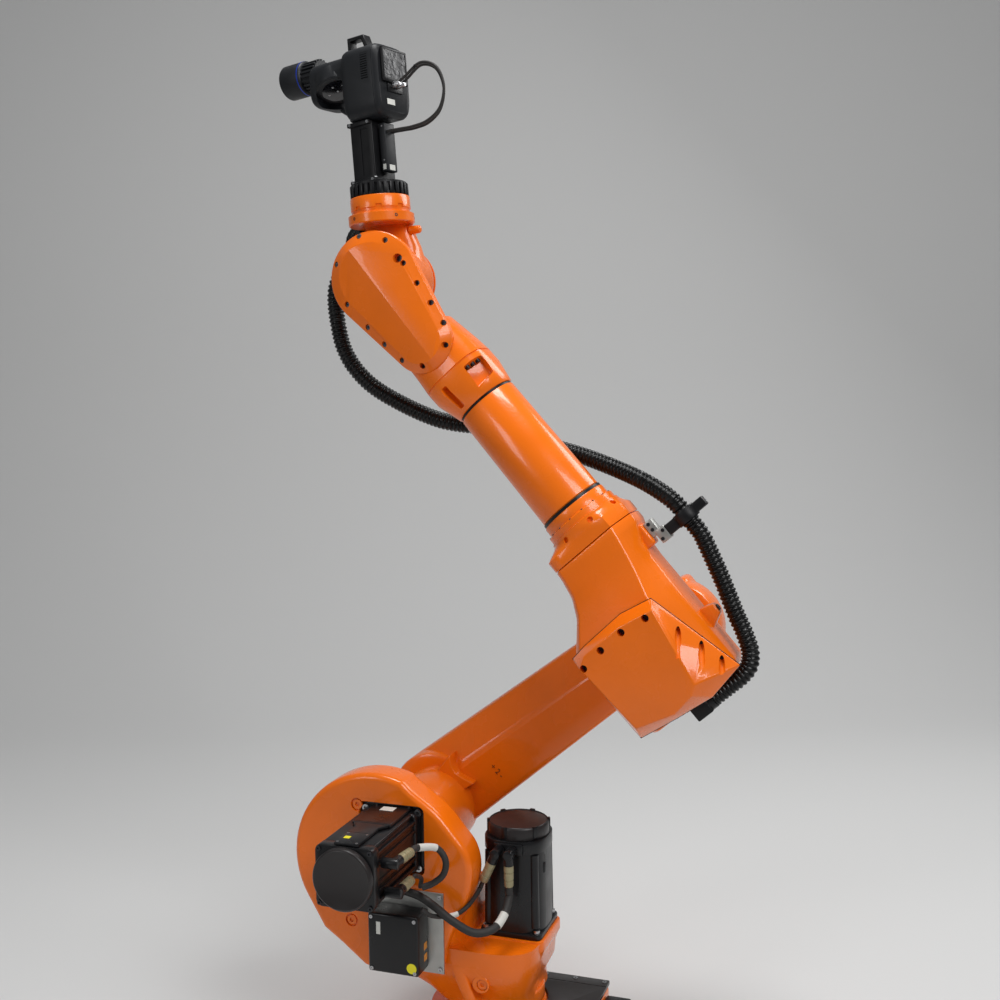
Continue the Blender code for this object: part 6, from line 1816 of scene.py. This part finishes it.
# name, place, width and height, watts
LIGHTS = (
    ("key_light", (-2.6, 1.9, 3.4), (1.7, 1.7), 78.0),
    ("front_light", (1.9, 3.0, 2.2), (0.8, 1.4), 18.0),
    ("top_light", (0.1, 0.2, 4.2), (1.2, 1.2), 74.0),
    ("back_light", (-1.6, -2.0, 3.0), (1.4, 1.4), 34.0))


def look_matrix(position, yaw, pitch, roll):
    """A camera that looks along yaw, tips down by pitch and rolls, all in degrees."""
    yaw, pitch, roll = (math.radians(angle) for angle in (yaw, pitch, roll))
    view = Vector((math.cos(pitch) * math.cos(yaw), math.cos(pitch) * math.sin(yaw), -math.sin(pitch)))
    right = Vector((math.sin(yaw), -math.cos(yaw), 0.0))
    down = view.cross(right)
    across = math.cos(roll) * right + math.sin(roll) * down
    below = -math.sin(roll) * right + math.cos(roll) * down
    matrix = Matrix((across, -below, -view)).transposed().to_4x4()
    matrix.translation = Vector(position)
    return matrix


def build_floor():
    """A floor that bends up into a plain backdrop, away from the camera."""
    profile = [(FLOOR_FRONT, 0.0)]
    for degrees in range(0, 91, 9):
        angle = math.radians(degrees)
        profile.append((BEND_START + BEND_RADIUS * math.sin(angle),
                        BEND_RADIUS * (1.0 - math.cos(angle))))
    profile.append((BEND_START + BEND_RADIUS, WALL_HEIGHT))
    away = Matrix.Rotation(math.radians(CAMERA_YAW), 4, "Z")
    bm = bmesh.new()
    rows = [[bm.verts.new(away @ Vector((x, y, z - 0.0005)))
             for y in (-FLOOR_HALF_WIDTH, FLOOR_HALF_WIDTH)] for x, z in profile]
    for near, far in zip(rows, rows[1:]):
        bm.faces.new((near[0], far[0], far[1], near[1]))
    floor = object_from("floor", bm)
    floor.data.shade_smooth()
    floor.data.materials.append(new_material("floor_grey", colours().backdrop, 0.9))


def build_lights():
    """Four soft area lights and a dim cool sky."""
    scene = bpy.context.scene
    scene.world = scene.world or bpy.data.worlds.new("studio")
    scene.world.use_nodes = True
    sky = scene.world.node_tree.nodes["Background"]
    sky.inputs["Color"].default_value = (0.88, 0.90, 0.92, 1.0)
    sky.inputs["Strength"].default_value = 0.20
    for name, spot, size, power in LIGHTS:
        data = bpy.data.lights.new(name, "AREA")
        data.shape = "RECTANGLE"
        data.size, data.size_y = size
        data.energy = power
        light = link_object(name, data)
        light.location = spot
        light.rotation_euler = (Vector(LIGHT_TARGET) - Vector(spot)).to_track_quat("-Z", "Y").to_euler()


def build_view():
    """The camera of the photo."""
    data = bpy.data.cameras.new("camera")
    data.sensor_width = SENSOR
    data.lens = FOCAL_PIXELS * SENSOR / PICTURE_PIXELS
    data.clip_start = 0.05
    data.clip_end = 60.0
    camera = link_object("camera", data)
    camera.matrix_world = look_matrix(CAMERA_PLACE, CAMERA_YAW, CAMERA_PITCH, CAMERA_ROLL)
    bpy.context.scene.camera = camera
    bpy.context.scene.view_settings.view_transform = "Standard"


# add-on
class ARM_OT_stage(bpy.types.Operator):
    """Floor, lights and camera"""
    bl_idname = "arm.build_stage"
    bl_label = "Stage"

    def execute(self, context):
        build_floor()
        build_lights()
        build_view()
        return {"FINISHED"}


class ARM_OT_base(bpy.types.Operator):
    """Foot casting with its bolts, and the connector box with its cover"""
    bl_idname = "arm.build_base"
    bl_label = "Base"

    def execute(self, context):
        build_foot()
        build_connector_box()
        build_connector_cover()
        return {"FINISHED"}


class ARM_OT_column(bpy.types.Operator):
    """Column casting with its ear and its motor ledge"""
    bl_idname = "arm.build_column"
    bl_label = "Column"

    def execute(self, context):
        build_column()
        return {"FINISHED"}


class ARM_OT_motors(bpy.types.Operator):
    """The upright motor and the side motor with its terminal box"""
    bl_idname = "arm.build_motors"
    bl_label = "Motors"

    def execute(self, context):
        build_upright_motor()
        build_upright_cap()
        build_side_motor()
        build_terminal_box()
        return {"FINISHED"}


class ARM_OT_leads(bpy.types.Operator):
    """Plugs and leads, and the signal box on its plate"""
    bl_idname = "arm.build_leads"
    bl_label = "Leads"

    def execute(self, context):
        build_leads()
        build_mounting_plate()
        build_signal_box()
        return {"FINISHED"}


class ARM_OT_link(bpy.types.Operator):
    """Link arm with its bumper, covers and axis mark"""
    bl_idname = "arm.build_link"
    bl_label = "Link"

    def execute(self, context):
        build_link()
        build_bumper()
        build_link_lid("link_root_lid", 0.0, "link_root_cover")
        build_link_lid("link_head_lid", LINK_LENGTH, "link_head_cover")
        build_link_mark()
        return {"FINISHED"}


class ARM_OT_elbow(bpy.types.Operator):
    """Elbow housing with its cover, flange and hose clamp"""
    bl_idname = "arm.build_elbow"
    bl_label = "Elbow"

    def execute(self, context):
        build_elbow()
        build_elbow_cover()
        build_elbow_flange()
        build_clamp_blocks()
        build_clamp()
        return {"FINISHED"}


class ARM_OT_hoses(bpy.types.Operator):
    """The ribbed hose in three runs, with its fittings"""
    bl_idname = "arm.build_hoses"
    bl_label = "Hoses"

    def execute(self, context):
        build_hose_runs()
        build_hose_fittings()
        return {"FINISHED"}


class ARM_OT_forearm(bpy.types.Operator):
    """Forearm tube, wrist housing and belt cover"""
    bl_idname = "arm.build_forearm"
    bl_label = "Forearm"

    def execute(self, context):
        build_tube()
        build_wrist()
        build_belt_cover()
        return {"FINISHED"}


class ARM_OT_hand(bpy.types.Operator):
    """Hand with its collar and far cap"""
    bl_idname = "arm.build_hand"
    bl_label = "Hand"

    def execute(self, context):
        build_hand()
        build_far_cap()
        return {"FINISHED"}


class ARM_OT_tool(bpy.types.Operator):
    """Ribbed ring, post and interface box"""
    bl_idname = "arm.build_tool"
    bl_label = "Tool"

    def execute(self, context):
        build_adapter()
        build_post()
        build_relay_box()
        return {"FINISHED"}


class ARM_OT_camera(bpy.types.Operator):
    """Camera head with its window, barrel, rear panel and leads"""
    bl_idname = "arm.build_camera"
    bl_label = "Camera"

    def execute(self, context):
        build_scanner_body()
        build_handle()
        build_window()
        build_barrel()
        build_rear_panel()
        build_camera_leads()
        return {"FINISHED"}


OPERATORS = (
    ARM_OT_stage,
    ARM_OT_base,
    ARM_OT_column,
    ARM_OT_motors,
    ARM_OT_leads,
    ARM_OT_link,
    ARM_OT_elbow,
    ARM_OT_hoses,
    ARM_OT_forearm,
    ARM_OT_hand,
    ARM_OT_tool,
    ARM_OT_camera,
)


class ARM_PT_sidebar(bpy.types.Panel):
    """Lists the groups and the sizes"""
    bl_idname = "ARM_PT_sidebar"
    bl_label = "Robot arm"
    bl_space_type = "VIEW_3D"
    bl_region_type = "UI"
    bl_category = "Robot arm"

    def draw(self, context):
        layout = self.layout
        for group in (context.scene.arm_sizes, context.scene.arm_colours):
            for name in group.bl_rna.properties.keys():
                if name not in ("rna_type", "name"):
                    layout.prop(group, name)
        for operator in OPERATORS:
            layout.operator(operator.bl_idname)


CLASSES = (ArmSizes, ArmColours, *OPERATORS, ARM_PT_sidebar)


def register():
    for cls in CLASSES:
        bpy.utils.register_class(cls)
    bpy.types.Scene.arm_sizes = bpy.props.PointerProperty(type=ArmSizes)
    bpy.types.Scene.arm_colours = bpy.props.PointerProperty(type=ArmColours)


def unregister():
    del bpy.types.Scene.arm_colours
    del bpy.types.Scene.arm_sizes
    for cls in reversed(CLASSES):
        bpy.utils.unregister_class(cls)


def main():
    """Builds the groups in order."""
    register()
    bpy.ops.arm.build_stage()
    bpy.ops.arm.build_base()
    bpy.ops.arm.build_column()
    bpy.ops.arm.build_motors()
    bpy.ops.arm.build_leads()
    bpy.ops.arm.build_link()
    bpy.ops.arm.build_elbow()
    bpy.ops.arm.build_hoses()
    bpy.ops.arm.build_forearm()
    bpy.ops.arm.build_hand()
    bpy.ops.arm.build_tool()
    bpy.ops.arm.build_camera()


if __name__ == "__main__":
    main()
